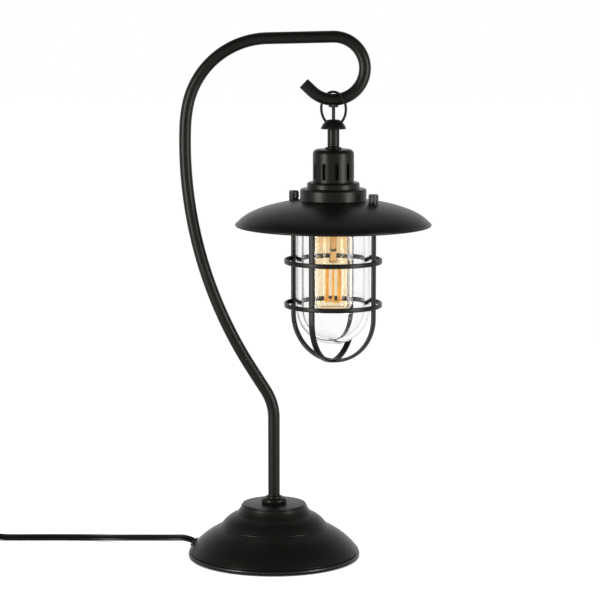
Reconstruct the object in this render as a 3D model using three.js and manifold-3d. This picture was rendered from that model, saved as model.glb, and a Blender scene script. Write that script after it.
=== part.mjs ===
// A table lamp in the manner of a ship's lantern: a weighted stepped base, a bent tube post that
// ends in a hook, and a caged glass lantern that hangs from the hook by a wire ring.
// Millimetres, +Z up, +X from the post towards the lantern, origin under the middle of the base.

import * as THREE from 'three';
import { mergeVertices } from 'three/addons/utils/BufferGeometryUtils.js';
import Module from 'manifold-3d';

const wasm = await Module();
wasm.setup();

// Fits, shared by all pieces
const CLEAR = 0.3; // left between pieces that touch
const OVERRUN = 3; // how far a cutter passes the face that it opens
const SHEET = 1.2; // spun steel

// Base
const FELT_MARGIN = 6.5; // inside the base's rim
const FELT_T = 1.6;
const PLATE_T = 1;
const BASE_R = 92.5;
const BASE_H = 58.1;
const BASE_LIFT = 0.8; // the bead's height over the table
const BEAD_R = 2.4;
const GROOVE_IN = 1.2;
const GROOVE_H = 1.3;
const BEAD_TURN = 50; // how far the bead's top rolls in, in degrees over the level
const STEP_RISE = 1.8;
const DOME_BOW = 2.7;
const TIER_BOW = 1.7;
const BEAD_STEPS = 4;
const DOME_STEPS = 6;
const TIER_STEPS = 3;
const BASE_SHARES = { // of the base's radius and height
  step: [0.6238, 0.568], tier: [0.4389, 0.8158], flank: [0.3741, 0.9793], crown: [0.3589, 1],
};
const WEIGHT_SHARES = { foot: 0.31, height: 0.2065 }; // of the base's height
const NIPPLE_D = 9.7;
const NIPPLE_BORE = 7.6;
const NIPPLE_GRIP = 16; // thread inside the post
const NUT_AF = 14;
const NUT_H = 4.5;
const NUT_WASHER_R = 9;
const NUT_WASHER_T = 1.2;
const COLLAR_R = 13.8;
const COLLAR_H = 8;

// Post: straight, leaning back in one long sweep, over the top and down round the hook
const TUBE_D = 12.7;
const TUBE_WALL = 1.2;
const POST_STRAIGHT_TOP = 151.5;
const LEAN_R = 56;
const LEAN_TURN = 32.3;
const LEAN_RUN = 28.7;
const SWEEP_R = 450;
const SWEEP_TURN = 34.6;
const SHOULDER_R = 144;
const SHOULDER_TURN = 9.4;
const CROWN_BEND_R = 88;
const CROWN_TURN = 77;
const TOP_RUN = 69;
const HOOK_R = 33.1;
const HOOK_TURN = 224.7;
const HOOK_TIP = 12;
const POST_STEPS = [4, 5, 1, 8, 20]; // steps of the tube's five bends, from the base up

// Ring that hangs on the hook, and the cap that it carries
const RING_D = 38.4;
const RING_WIRE = 2.8;
const RING_SEAT = 0.6;
const RING_TURN = 44; // of the ring's plane, from the hook's plane towards the front
const CHANNEL_FIT = 0.45;
const CAP_DROP = 11.65;
const CAP_H = 9.7;
const CAP_R = 13.4;
const CAP_TOP_R = 6.4;
const CAP_LIP = 1.2;
const CAP_BOW = 0.7;
const MOUTH_R = 5.4;
const MOUTH_DEPTH = 3.4;
const THROAT_R = 4.2;

// Stem and socket cup
const STEM_L = 18.8;
const STEM_WASHER_R = 8.7;
const STEM_WASHER_T = 1.6;
const STEM_NIPPLE_TAIL = 13.8; // below the cup's top
const CUP_R = 21.9;
const CUP_H = 34.7;
const CUP_ROUND = 5.3;
const SLOTS = 10;
const SLOT_W = 4;
const SLOT_H = 18;
const SLOT_FOOT = 2.8;
const SLOT_TURN = -81.5;

// Lamp socket
const SOCKET_R = 17;
const SOCKET_HEAD_R = 19.3;
const SOCKET_HEAD_H = 27;
const SOCKET_HEAD_BEVEL = 5;
const SOCKET_SKIRT = 31.5;
const SOCKET_CEILING = 0.8;
const SHELL_T = 0.5;
const SHELL_L = 22;
const CONTACT_R = 5;
const CONTACT_T = 1.4;
const WIRE_BORE_R = 2.5;
const SOCKET_RING_R = 24.5;
const SOCKET_RING_H = 7;

// Shade: two steps over a shallow dome with a rolled rim
const STEP_1_R = 28;
const STEP_1_H = 6.9;
const STEP_1_ROUND = 2.4;
const STEP_2_R = 35.3;
const STEP_2_H = 12.4;
const STEP_2_ROUND = 2.2;
const FILLET = 0.7;
const SHADE_R = 104.5;
const SHADE_SHARES = { span: 1.0144, rise: 0.333 }; // half axes of the dome's elliptic section
const LIP_R = 1.5;
const LIP_TURN = [-100, 60];
const SHADE_LIP_STEPS = 3;
const SHADE_STEPS = 8;

// Cage
const HOOP_TURN = -28.5;
const HOOP_R = 48.25;
const HOOP_T = 3.5;
const HOOP_W = 6;
const HOOP_CORNER = 0.9;
const HOOP_BEND_DROP = 143.7; // from the shade's top to the middle of the round bottom
const CAGE_BAND_T = 2.2;
const CAGE_BAND_H = 4.9;
const CAGE_BAND_DROPS = { cage_ring_upper: 84.3, cage_ring_lower: 131 }; // from the shade's top
const FLANGE_T = 2;
const FLANGE_FIT = 0.5;
const STUD_R = 2;
const STUD_AT = 47.7;
const STUD_GRIP = 6;
const STUD_FIT = 0.6;
const KNOB_R = 5;
const KNOB_H = 8.9;
const KNOB_FLUTES = 16;
const KNOB_FLUTE = 0.35;
const KNOB_BEVEL = 0.5;

// Glass jar
const JAR_R = 39.3;
const JAR_WALL = 2.5;
const JAR_FOOT_DROP = 174; // from the shade's top to the bottom of the jar
const JAR_LIP_R = 43.4;
const JAR_LIP_T = 3;
const JAR_LIP_DROP = 24.2;
const GASKET_IN = 37.6;

// Bulb, a long tubular one with an upright filament cage
const BULB_R = 20.9;
const BULB_FOOT_DROP = 135.5;
const BULB_ROUND = 6.5;
const BULB_WALL = 0.8;
const BULB_SHOULDER_DROP = 60;
const BULB_NECK_DROP = 34;
const BULB_CAP_R = 13.2;
const BULB_CAP_T = 0.6;
const BULB_CAP_L = 25;
const BULB_CAP_TOP_DROP = 6.5;
const TIP_R = 4;
const TIP_H = 3.4;
const STEM_FLARE_L = 12;
const STEM_FOOT_DROP = 86;
const STEM_PRESS_R = 3.6;
const STEM_BUTTON_R = 5;
const FILAMENT_R = 9.6;
const FILAMENT_WIRE = 1.3;
const FILAMENT_TOP_DROP = 91;
const FILAMENT_FOOT_ROOM = 8; // from the filament's lower end to the bulb's foot
const FILAMENT_L = BULB_FOOT_DROP - FILAMENT_TOP_DROP - FILAMENT_FOOT_ROOM;
const FILAMENT_STRANDS = 8;
const FRAME_ROD_R = 0.9;
const FRAME_ARM_W = 1.1;
const FRAME_ARM_H = 1.2;

// Twin cord
const CORD_W = 7;
const CORD_T = 3.6;
const GROMMET_Z = 10;
const GROMMET_TURN = 168.5;
const GROMMET_R = 5.9;
const GROMMET_NECK_R = 4.7;
const GROMMET_BARB_R = 4.9;
const GROMMET_OUT = 2;
const GROMMET_IN = 1.2;
const GROMMET_FIT = 0.7;
const HOOK_HOLE_R = 4.3;
const HOOK_GROMMET_R = 5.3;
const HOOK_GROMMET_T = 1.2;
const HOOK_GROMMET_BORE = 3.1;
const DROP_TOP = 9.6; // below the hook's centreline, clear of the bushing when the ring swings
const DROP_DEPTH = 2; // into the cap's mouth

// The cord's free stretches, laid on the table: route points chosen by hand
const LEAD_ROUTE = [
  [-94.6, 19.3, 13.6], [-101, 20.8, 14.3], [-112, 25, 13.2], [-130, 34, 11], [-152, 46, 8.1],
  [-175, 57, 5.4], [-200, 64, 4], [-230, 66, 3.7], [-265, 66, 3.7], [-298, 66, 3.7],
  [-310, 66, 5.2], [-319, 66, 7.9], [-328.8, 66, 8.6],
];
const TAIL_ROUTE = [
  [-401.6, 66, 8.6], [-408, 66, 8.2], [-416, 66, 6], [-426, 66, 4.1], [-438, 66, 3.6], [-450.2, 66, 3.6],
];
const COIL_START = [-458, 66, 3.6];
const PLUG_Z = 8.6;

// The lead inside the base: across the floor in shares of the base's radius, then up into the nipple in
// distances from the middle, with heights in shares of the way from the floor to the nut
const FLOOR_SHARES = [[0.832, 0.36], [0.735, 0.24], [0.627, 0], [0.16, 0]];
const RISE_ROUTE = [[6, 0.2], [1.2, 0.72], [0, 1.28]];
const INNER_SHORT = 16; // degrees round the hook between the lead's end and the hole

// Coil
const COIL_R = 42;
const COIL_GAP = 0.5;
const COIL_TURNS_DOWN = 3;
const COIL_TURNS_UP = 2.5;
const COIL_STEPS = 24;
const COIL_JUMP_SHARE = 1.5; // the step outwards after the climb, in pitches

// In-line switch
const SWITCH_X = -365.2;
const SWITCH_Y = 66;
const SWITCH_L = 72;
const SWITCH_W = 25;
const SWITCH_END_W = 13;
const SWITCH_H = 17.2;
const SWITCH_BEVEL = 2;
const WELL_L = 23;
const WELL_W = 11;
const WELL_DEPTH = 6.5;
const ROCKER_L = 20;
const ROCKER_W = 10;
const ROCKER_RISE = 2.4;
const ROCKER_DEPTH = 3;
const ROCKER_TILT = 8;

// Plug
const PLUG_L = 30;
const PLUG_W = 25;
const PLUG_END_W = 14;
const PLUG_H = 16;
const PLUG_BEVEL = 2;
const PLUG_NECK_L = 9;
const PLUG_NECK_R = 5;
const PLUG_LEAD = 9; // cord between the coil and the plug
const BLADE_PITCH = 12.7;
const BLADE_T = 1.5;
const BLADE_OUT = 17.5;
const BLADE_IN = 8;
const BLADE_LIVE_W = 6.35;
const BLADE_NEUTRAL_W = 7.95;

const V2 = THREE.Vector2;
const V3 = THREE.Vector3;
const UP = new V3(0, 0, 1);
const ACROSS = new V3(0, 1, 0);
const TUBE_R = TUBE_D / 2;
const TUBE_BORE_R = TUBE_R - TUBE_WALL;
const WEIGHT_Z = BASE_H * WEIGHT_SHARES.foot;
const WEIGHT_H = BASE_H * WEIGHT_SHARES.height;
const SHADE_SPAN = SHADE_R * SHADE_SHARES.span;
const SHADE_RISE = SHADE_R * SHADE_SHARES.rise;

const radians = (degrees) => THREE.MathUtils.degToRad(degrees);

function finish(color, roughness, metalness, opacity = 1) {
  return new THREE.MeshStandardMaterial({ color, roughness, metalness, opacity, transparent: opacity < 1 });
}

const BLACK = finish(0x1e1f1c, 0.5, 0.3);
const IRON = finish(0x4a4a48, 0.8, 0.6);
const ZINC = finish(0x9a9c9e, 0.4, 0.9);
const BRASS = finish(0xb08d4a, 0.35, 1);
const RUBBER = finish(0x0c0c0c, 0.7, 0);
const FELT = finish(0x151515, 0.95, 0);
const PLASTIC = finish(0x101010, 0.4, 0);
const GLASS = finish(0xeef1f2, 0.05, 0, 0.25);
const AMBER = finish(0xe0a04a, 0.05, 0, 0.4);
const GLOW = finish(0xf0b050, 0.5, 0);

const lamp = new THREE.Group();
lamp.name = 'lantern_lamp';

function add(parent, name, geometry, material) {
  const mesh = new THREE.Mesh(geometry, material);
  mesh.name = name;
  parent.add(mesh);
  return mesh;
}

function group(parent, x, y, z) {
  const made = new THREE.Group();
  made.position.set(x, y, z);
  parent.add(made);
  return made;
}

/** A closed mesh as a solid that can be cut and joined. */
function solid(geometry) {
  const bare = geometry.clone();
  bare.deleteAttribute('normal');
  bare.deleteAttribute('uv');
  const merged = mergeVertices(bare);
  const corners = merged.index.array;
  const kept = [];
  for (let i = 0; i < corners.length; i += 3) {
    const [a, b, c] = corners.slice(i, i + 3);
    if (a !== b && b !== c && c !== a) kept.push(a, b, c);
  }
  return new wasm.Manifold(new wasm.Mesh({
    numProp: 3,
    vertProperties: new Float32Array(merged.attributes.position.array),
    triVerts: new Uint32Array(kept),
  }));
}

function meshOf(body) {
  const found = body.getMesh();
  const geometry = new THREE.BufferGeometry();
  geometry.setAttribute('position', new THREE.BufferAttribute(new Float32Array(found.vertProperties), 3));
  geometry.setIndex(new THREE.BufferAttribute(new Uint32Array(found.triVerts), 1));
  geometry.computeVertexNormals();
  return geometry;
}

function cut(geometry, ...cutters) {
  return meshOf(cutters.reduce((body, cutter) => body.subtract(solid(cutter)), solid(geometry)));
}

function join(geometry, ...others) {
  return meshOf(others.reduce((body, other) => body.add(solid(other)), solid(geometry)));
}

/** A profile of radius and height, anticlockwise, turned round the Z axis. */
function turned(profile, segments) {
  const points = profile.map(([r, z]) => new V2(r, z));
  return new THREE.LatheGeometry(points, segments).rotateX(Math.PI / 2);
}

function washer(outer, bore, foot, top, segments) {
  return turned([[bore, foot], [outer, foot], [outer, top], [bore, top], [bore, foot]], segments);
}

function disc(radius, foot, top, segments) {
  return turned([[0, foot], [radius, foot], [radius, top], [0, top]], segments);
}

/** Points of an arc about (r, z), in degrees. */
function arc(r, z, radius, from, to, steps) {
  return Array.from({ length: steps + 1 }, (_, i) => {
    const at = radians(from + ((to - from) * i) / steps);
    return [r + radius * Math.cos(at), z + radius * Math.sin(at)];
  });
}

/** Points from a to b along a curve that stands off the chord by bow, on the right of the way along it. */
function bowed(a, b, bow, steps) {
  const [dr, dz] = [b[0] - a[0], b[1] - a[1]];
  const length = Math.hypot(dr, dz);
  return Array.from({ length: steps + 1 }, (_, i) => {
    const t = i / steps;
    const off = (4 * bow * t * (1 - t)) / length;
    return [a[0] + dr * t + dz * off, a[1] + dz * t - dr * off];
  });
}

/** The outline moved to its left, with mitred corners. */
function inset(outline, by) {
  const points = outline.map(([r, z]) => new V2(r, z));
  const sides = points.slice(1).map((p, i) => p.clone().sub(points[i]).normalize());
  return points.map((p, i) => {
    const before = sides[Math.max(i - 1, 0)];
    const after = sides[Math.min(i, sides.length - 1)];
    const way = before.clone().add(after).normalize();
    const left = new V2(-way.y, way.x).multiplyScalar(by / way.dot(before));
    return [p.x + left.x, p.y + left.y];
  });
}

/** A spun sheet: its outer face from the rim up, then its inner face, without some of the points. */
function sheet(outline, wall, segments, dropped = []) {
  const inside = inset(outline, wall).filter((_, i) => !dropped.includes(i));
  return turned([...outline, ...inside.reverse(), outline[0]], segments);
}

/** Where a face of an outline, followed from its foot, reaches a height, and the normal there. */
function faceAt(outline, height) {
  const i = outline.findIndex(([, z], k) => k > 0 && z >= height && outline[k - 1][1] < height);
  const [a, b] = [outline[i - 1], outline[i]];
  const t = (height - a[1]) / (b[1] - a[1]);
  const length = Math.hypot(b[0] - a[0], b[1] - a[1]);
  return { r: a[0] + t * (b[0] - a[0]), out: (b[1] - a[1]) / length, up: (a[0] - b[0]) / length };
}

/** A curve with a step at each of its stations, and its section's y axis held towards a direction. */
class Route extends THREE.Curve {
  constructor(places, hold, ways = null) {
    super();
    this.places = places;
    this.holds = Array.isArray(hold) ? hold : places.map(() => hold);
    this.ways = ways ?? places.map((_, i) => {
      const before = places[Math.max(i - 1, 0)];
      const after = places[Math.min(i + 1, places.length - 1)];
      return after.clone().sub(before).normalize();
    });
  }

  get steps() {
    return this.places.length - 1;
  }

  getPoint(t, target = new V3()) {
    return target.copy(this.places[Math.round(t * this.steps)]);
  }

  getPointAt(u, target) {
    return this.getPoint(u, target);
  }

  computeFrenetFrames() {
    const tangents = this.ways;
    const normals = tangents.map((way, i) => this.holds[i].clone().cross(way).normalize());
    const binormals = tangents.map((way, i) => way.clone().cross(normals[i]));
    return { tangents, normals, binormals };
  }
}

function swept(shape, route) {
  return new THREE.ExtrudeGeometry(shape, { steps: route.steps, extrudePath: route });
}

/** A straight prism of a shape from one height to another. */
function prism(shape, foot, top) {
  const made = new THREE.ExtrudeGeometry(shape, { depth: top - foot, bevelEnabled: false });
  return made.translate(0, 0, foot);
}

/** A prism with bevelled edges, inside the same heights. */
function softPrism(shape, foot, top, bevel) {
  const made = new THREE.ExtrudeGeometry(shape, {
    depth: top - foot - 2 * bevel,
    bevelSize: bevel,
    bevelThickness: bevel,
    bevelOffset: -bevel,
    bevelSegments: 2,
    curveSegments: 4,
  });
  return made.translate(0, 0, foot + bevel);
}

function polygon(radius, sides) {
  const corners = Array.from({ length: sides }, (_, i) => {
    const at = (2 * Math.PI * i) / sides;
    return new V2(radius * Math.cos(at), radius * Math.sin(at));
  });
  return new THREE.Shape(corners);
}

/** The twin cord's section: two round wires side by side, standing along y. */
function twin(width, thickness) {
  const wire = thickness / 2;
  const centre = width / 2 - wire;
  const lobe = [-30, 30, 90, 150, 210].map((at) => {
    return new V2(wire * Math.cos(radians(at)), centre + wire * Math.sin(radians(at)));
  });
  return new THREE.Shape([...lobe, ...lobe.map((p) => p.clone().negate())]);
}

/** A plainer section of the same size for the coil's many loops. */
function plainTwin(width, thickness) {
  const [x, y] = [thickness / 2, width / 2];
  const shoulder = y - x;
  const corners = [[x, -shoulder], [x, shoulder], [0, y], [-x, shoulder], [-x, -shoulder], [0, -y]];
  return new THREE.Shape(corners.map(([a, b]) => new V2(a, b)));
}

/** A long box with rounded corners, along x. */
function roundedBar(length, width, corner) {
  const [x, y] = [length / 2, width / 2];
  const corners = [
    [x - corner, -y], [x, corner - y], [x, y - corner], [x - corner, y],
    [corner - x, y], [-x, y - corner], [-x, corner - y], [corner - x, -y],
  ];
  return new THREE.Shape(corners.map(([a, b]) => new V2(a, b)));
}

/** An oblong outline that narrows to both ends. */
function waisted(length, width, endWidth, startWidth = endWidth) {
  const [x, y] = [length / 2, width / 2];
  const shoulder = x - width / 2;
  const outline = new THREE.Shape();
  outline.moveTo(-x, -startWidth / 2);
  outline.quadraticCurveTo(-x + endWidth / 4, -y, -shoulder, -y);
  outline.lineTo(shoulder, -y);
  outline.quadraticCurveTo(x - endWidth / 4, -y, x, -endWidth / 2);
  outline.lineTo(x, endWidth / 2);
  outline.quadraticCurveTo(x - endWidth / 4, y, shoulder, y);
  outline.lineTo(-shoulder, y);
  outline.quadraticCurveTo(-x + endWidth / 4, y, -x, startWidth / 2);
  return outline;
}

function hexNut(foot, top, bore) {
  const shape = polygon(NUT_AF / 2 / Math.cos(Math.PI / 6), 6);
  shape.holes.push(polygon(bore, 14));
  return prism(shape, foot, top);
}

/** Places and directions of a tube bent in the XZ plane: straight runs, and arcs that turn left or right. */
function bentTube(start, legs) {
  const places = [start.clone()];
  const headings = [90];
  const ways = [UP.clone()];
  const note = (place, heading) => {
    places.push(place);
    headings.push(heading);
    ways.push(new V3(Math.cos(radians(heading)), 0, Math.sin(radians(heading))));
  };
  legs.forEach(({ run, radius, turn, steps }) => {
    const from = places.at(-1);
    const heading = headings.at(-1);
    if (run) {
      note(from.clone().addScaledVector(ways.at(-1), run), heading);
      return;
    }
    const side = Math.sign(turn) * radius;
    const rad = radians(heading);
    const centre = from.clone().add(new V3(-Math.sin(rad) * side, 0, Math.cos(rad) * side));
    for (let k = 1; k <= steps; k++) {
      const now = heading + (turn * k) / steps;
      const arm = new V3(Math.sin(radians(now)) * side, 0, -Math.cos(radians(now)) * side);
      note(centre.clone().add(arm), now);
    }
  });
  return { places, ways };
}

/** The post's legs, with a given number of steps for each bend. */
function postLegs(foot, [lean, sweep, shoulder, crown, hook], hookTurn, tip) {
  return [
    { run: POST_STRAIGHT_TOP - foot },
    { radius: LEAN_R, turn: LEAN_TURN, steps: lean },
    { run: LEAN_RUN },
    { radius: SWEEP_R, turn: -SWEEP_TURN, steps: sweep },
    { radius: SHOULDER_R, turn: -SHOULDER_TURN, steps: shoulder },
    { radius: CROWN_BEND_R, turn: -CROWN_TURN, steps: crown },
    { run: TOP_RUN },
    { radius: HOOK_R, turn: -hookTurn, steps: hook },
    ...(tip ? [{ run: tip }] : []),
  ];
}

const TOP_HEADING = 90 + LEAN_TURN - SWEEP_TURN - SHOULDER_TURN - CROWN_TURN;
const POST_FOOT = BASE_H + CLEAR;

/** The post's line from a height up to so many degrees short of the hook's lowest point. */
function lineToHook(foot, steps, short) {
  return bentTube(new V3(0, 0, foot), postLegs(foot, steps, 180 + TOP_HEADING - short, 0)).places;
}

const HANG = lineToHook(POST_FOOT, [1, 1, 1, 1, 1], 0).at(-1); // the tube's centre where everything hangs

// Heights of the lantern's parts, each from the one above
const RING_Z = HANG.z + TUBE_R + RING_SEAT - (RING_D / 2 - RING_WIRE);
const CAP_TOP = RING_Z - CAP_DROP;
const CAP_FOOT = CAP_TOP - CAP_H;
const STEM_TOP = CAP_FOOT - CLEAR;
const STEM_FOOT = STEM_TOP - STEM_L;
const STEM_WASHER_TOP = STEM_FOOT - CLEAR;
const CUP_TOP = STEM_WASHER_TOP - STEM_WASHER_T - CLEAR;
const CUP_FOOT = CUP_TOP - CUP_H;
const SHADE_TOP = CUP_FOOT - CLEAR;
const STEP_1_FOOT = SHADE_TOP - STEP_1_H;
const STEP_2_FOOT = STEP_1_FOOT - STEP_2_H;
const DOME_R = STEP_2_R + FILLET;
const domeHeight = (r) => SHADE_RISE * Math.sqrt(1 - (r / SHADE_SPAN) ** 2);
const DOME_CENTRE_Z = STEP_2_FOOT - domeHeight(DOME_R);
const domeZ = (r) => DOME_CENTRE_Z + domeHeight(r);
const JAR_LIP_TOP = SHADE_TOP - JAR_LIP_DROP;
const JAR_FOOT = SHADE_TOP - JAR_FOOT_DROP;
const FLANGE_TOP = JAR_LIP_TOP - JAR_LIP_T - CLEAR;
const HOOP_TOP = FLANGE_TOP - FLANGE_T - CLEAR;
const HOOP_BEND_Z = SHADE_TOP - HOOP_BEND_DROP;
const HOOP_OUTER = HOOP_R + HOOP_T / 2;
const CAGE_R = HOOP_OUTER + CLEAR + CAGE_BAND_T;
const KNOB_FOOT = domeZ(STUD_AT - KNOB_R) + CLEAR;
const SOCKET_FOOT = SHADE_TOP - SOCKET_SKIRT;
const SOCKET_ROOF = SHADE_TOP - SOCKET_CEILING;
const SOCKET_TOP = CUP_FOOT + SOCKET_HEAD_H;
const BULB_CAP_TOP = SHADE_TOP - BULB_CAP_TOP_DROP;
const BULB_CAP_FOOT = BULB_CAP_TOP - BULB_CAP_L;
const BULB_NECK_R = BULB_CAP_R - BULB_CAP_T - CLEAR;
const SOCKET_BORE_R = BULB_CAP_R + CLEAR + SHELL_T + CLEAR;
const WELL_MIDDLE_Z = SWITCH_H - ROCKER_DEPTH;

/** The outer face of the base from the underside of its bead to the hole in its crown. */
function baseOutline() {
  const bead = arc(BASE_R - BEAD_R, BASE_LIFT + BEAD_R, BEAD_R, -90, BEAD_TURN, BEAD_STEPS);
  const grooveZ = BASE_LIFT + 2 * BEAD_R;
  const meeting = (name) => [BASE_R * BASE_SHARES[name][0], BASE_H * BASE_SHARES[name][1]];
  const [step, tier] = [meeting('step'), meeting('tier')];
  const domeFoot = [BASE_R - GROOVE_IN, grooveZ + GROOVE_H];
  return [
    ...bead, [BASE_R - GROOVE_IN, grooveZ],
    ...bowed(domeFoot, [step[0] + GROOVE_IN / 2, step[1]], DOME_BOW, DOME_STEPS),
    ...bowed([step[0], step[1] + STEP_RISE], tier, TIER_BOW, TIER_STEPS),
    [tier[0] - GROOVE_IN, tier[1] + GROOVE_H], meeting('flank'), meeting('crown'),
    [NIPPLE_D / 2 + CLEAR, BASE_H],
  ];
}

const BASE_FACE = baseOutline();

const BASE_INNER_DROPS = [1, 2, 3, 7, 9, 11, 14, 15]; // points that the base's inner face does without

/** Turns and moves a piece made round its own +Z so that it stands on the dome where the cord leaves. */
function onDome(geometry) {
  const { r, out, up } = faceAt(BASE_FACE, GROMMET_Z);
  const lean = Math.atan2(out, up);
  geometry.rotateY(lean);
  geometry.translate(r, 0, GROMMET_Z);
  return geometry.rotateZ(radians(GROMMET_TURN));
}

/** A point of the cord's axis at the grommet, so far out of the dome's face. */
function exitPoint(distance) {
  const { r, out, up } = faceAt(BASE_FACE, GROMMET_Z);
  const point = new V3(r + distance * out, 0, GROMMET_Z + distance * up);
  return point.applyAxisAngle(UP, radians(GROMMET_TURN));
}

function buildBase(stand) {
  add(stand, 'felt_pad', disc(BASE_R - FELT_MARGIN, 0, FELT_T, 40), FELT);
  const plateFoot = FELT_T + CLEAR;
  const plateR = BASE_R - BEAD_R - SHEET;
  add(stand, 'base_plate', disc(plateR, plateFoot, plateFoot + PLATE_T, 40), ZINC);

  const hole = new THREE.CylinderGeometry(GROMMET_NECK_R + CLEAR, GROMMET_NECK_R + CLEAR, 4 * OVERRUN, 20);
  const shell = sheet(BASE_FACE, SHEET, 40, BASE_INNER_DROPS);
  add(stand, 'base_shell', cut(shell, onDome(hole.rotateX(Math.PI / 2))), BLACK);

  const inner = faceAt(inset(BASE_FACE, SHEET), WEIGHT_Z + WEIGHT_H);
  const boreR = NIPPLE_D / 2 + CLEAR;
  const weight = washer(inner.r - CLEAR / inner.out, boreR, WEIGHT_Z, WEIGHT_Z + WEIGHT_H, 36);
  add(stand, 'base_weight', weight, IRON);
  const washerFoot = WEIGHT_Z - CLEAR - NUT_WASHER_T;
  add(stand, 'weight_washer', washer(NUT_WASHER_R, boreR, washerFoot, WEIGHT_Z - CLEAR, 20), ZINC);
  const nutFoot = washerFoot - CLEAR - NUT_H;
  add(stand, 'weight_nut', hexNut(nutFoot, nutFoot + NUT_H, boreR), ZINC);
  const nipple = washer(NIPPLE_D / 2, NIPPLE_BORE / 2, nutFoot, POST_FOOT + NIPPLE_GRIP, 20);
  add(stand, 'base_nipple', nipple, ZINC);
}

function buildPost(stand) {
  const neck = COLLAR_H / 4;
  const beadR = (COLLAR_H - neck) / 2;
  const bead = arc(COLLAR_R - beadR, POST_FOOT + beadR, beadR, -90, 90, 6);
  const bore = TUBE_R + CLEAR;
  const collar = [[bore, POST_FOOT], ...bead, [bore + neck, POST_FOOT + COLLAR_H - neck]];
  collar.push([bore + neck / 2, POST_FOOT + COLLAR_H], [bore, POST_FOOT + COLLAR_H], collar[0]);
  add(stand, 'post_collar', turned(collar, 24), BLACK);

  const { places, ways } = bentTube(
    new V3(0, 0, POST_FOOT), postLegs(POST_FOOT, POST_STEPS, HOOK_TURN, HOOK_TIP),
  );
  const section = polygon(TUBE_R, 14);
  section.holes.push(polygon(TUBE_BORE_R, 10));
  const hole = new THREE.CylinderGeometry(HOOK_HOLE_R, HOOK_HOLE_R, TUBE_R + OVERRUN, 16);
  hole.rotateX(Math.PI / 2).translate(HANG.x, 0, HANG.z - (TUBE_R + OVERRUN) / 2);
  add(stand, 'post_tube', cut(swept(section, new Route(places, ACROSS, ways)), hole), BLACK);

  const flangeTop = HANG.z - TUBE_R - CLEAR;
  const sleeveR = HOOK_HOLE_R - CLEAR;
  const sleeveTop = HANG.z - TUBE_BORE_R;
  add(stand, 'hook_grommet', turned([
    [HOOK_GROMMET_BORE, flangeTop - HOOK_GROMMET_T], [HOOK_GROMMET_R, flangeTop - HOOK_GROMMET_T],
    [HOOK_GROMMET_R, flangeTop], [sleeveR, flangeTop], [sleeveR, sleeveTop],
    [HOOK_GROMMET_BORE, sleeveTop], [HOOK_GROMMET_BORE, flangeTop - HOOK_GROMMET_T],
  ], 20).translate(HANG.x, 0, 0), RUBBER);
}

/** The rubber bushing that the cord leaves through, gripping the edge of its hole. */
function buildCordGrommet(stand) {
  const lip = GROMMET_R;
  const neck = GROMMET_NECK_R;
  const barb = GROMMET_BARB_R;
  const inside = -(SHEET + GROMMET_FIT);
  const body = turned([
    [0, inside - GROMMET_IN], [neck - CLEAR, inside - GROMMET_IN], [barb, inside - GROMMET_IN / 2],
    [barb, inside], [neck, inside], [neck, GROMMET_FIT], [lip, GROMMET_FIT],
    [lip, GROMMET_FIT + GROMMET_OUT / 2], [neck, GROMMET_FIT + GROMMET_OUT], [0, GROMMET_FIT + GROMMET_OUT],
  ], 24);
  const bore = prism(twin(CORD_W + 2 * CLEAR, CORD_T + 2 * CLEAR), -4 * OVERRUN, 4 * OVERRUN);
  bore.rotateZ(Math.PI / 2);
  add(stand, 'cord_grommet', onDome(cut(body, bore)), RUBBER);
}

/** The lead inside the lamp: from the grommet under the weight, up the nipple and round to the hook. */
function buildInnerLead(stand) {
  const radial = (r, z) => new V3(r, 0, z).applyAxisAngle(UP, radians(GROMMET_TURN));
  const depth = SHEET + GROMMET_FIT + GROMMET_IN + 4 * CLEAR;
  const floorZ = FELT_T + CLEAR + PLATE_T + CLEAR + CORD_T / 2;
  const start = exitPoint(-depth);
  const headroom = WEIGHT_Z - 2 * CLEAR - NUT_WASHER_T - NUT_H - floorZ;
  const inBase = [
    start, ...FLOOR_SHARES.map(([share, rise]) => radial(BASE_R * share, floorZ + headroom * rise)),
    ...RISE_ROUTE.map(([r, rise]) => radial(r, floorZ + headroom * rise)),
  ];
  const places = [...inBase, ...lineToHook(WEIGHT_Z, [2, 3, 1, 5, 10], INNER_SHORT)];
  const holds = places.map((_, i) => (i < 2 ? UP : ACROSS));
  holds[2] = UP.clone().add(ACROSS);
  const route = new Route(places, holds);
  add(stand, 'inner_lead', swept(plainTwin(CORD_W, CORD_T), route), RUBBER);
}

function buildRing(lantern) {
  const ring = group(lantern, 0, 0, RING_Z);
  ring.rotation.z = radians(-RING_TURN);
  const wire = new THREE.TorusGeometry((RING_D - RING_WIRE) / 2, RING_WIRE / 2, 8, 32).rotateX(Math.PI / 2);
  add(ring, 'hang_ring', wire, BLACK);

  const top = HANG.z - DROP_TOP;
  const foot = CAP_TOP - DROP_DEPTH;
  add(lantern, 'cord_drop', prism(twin(CORD_W, CORD_T), foot, top), RUBBER);
}

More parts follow.
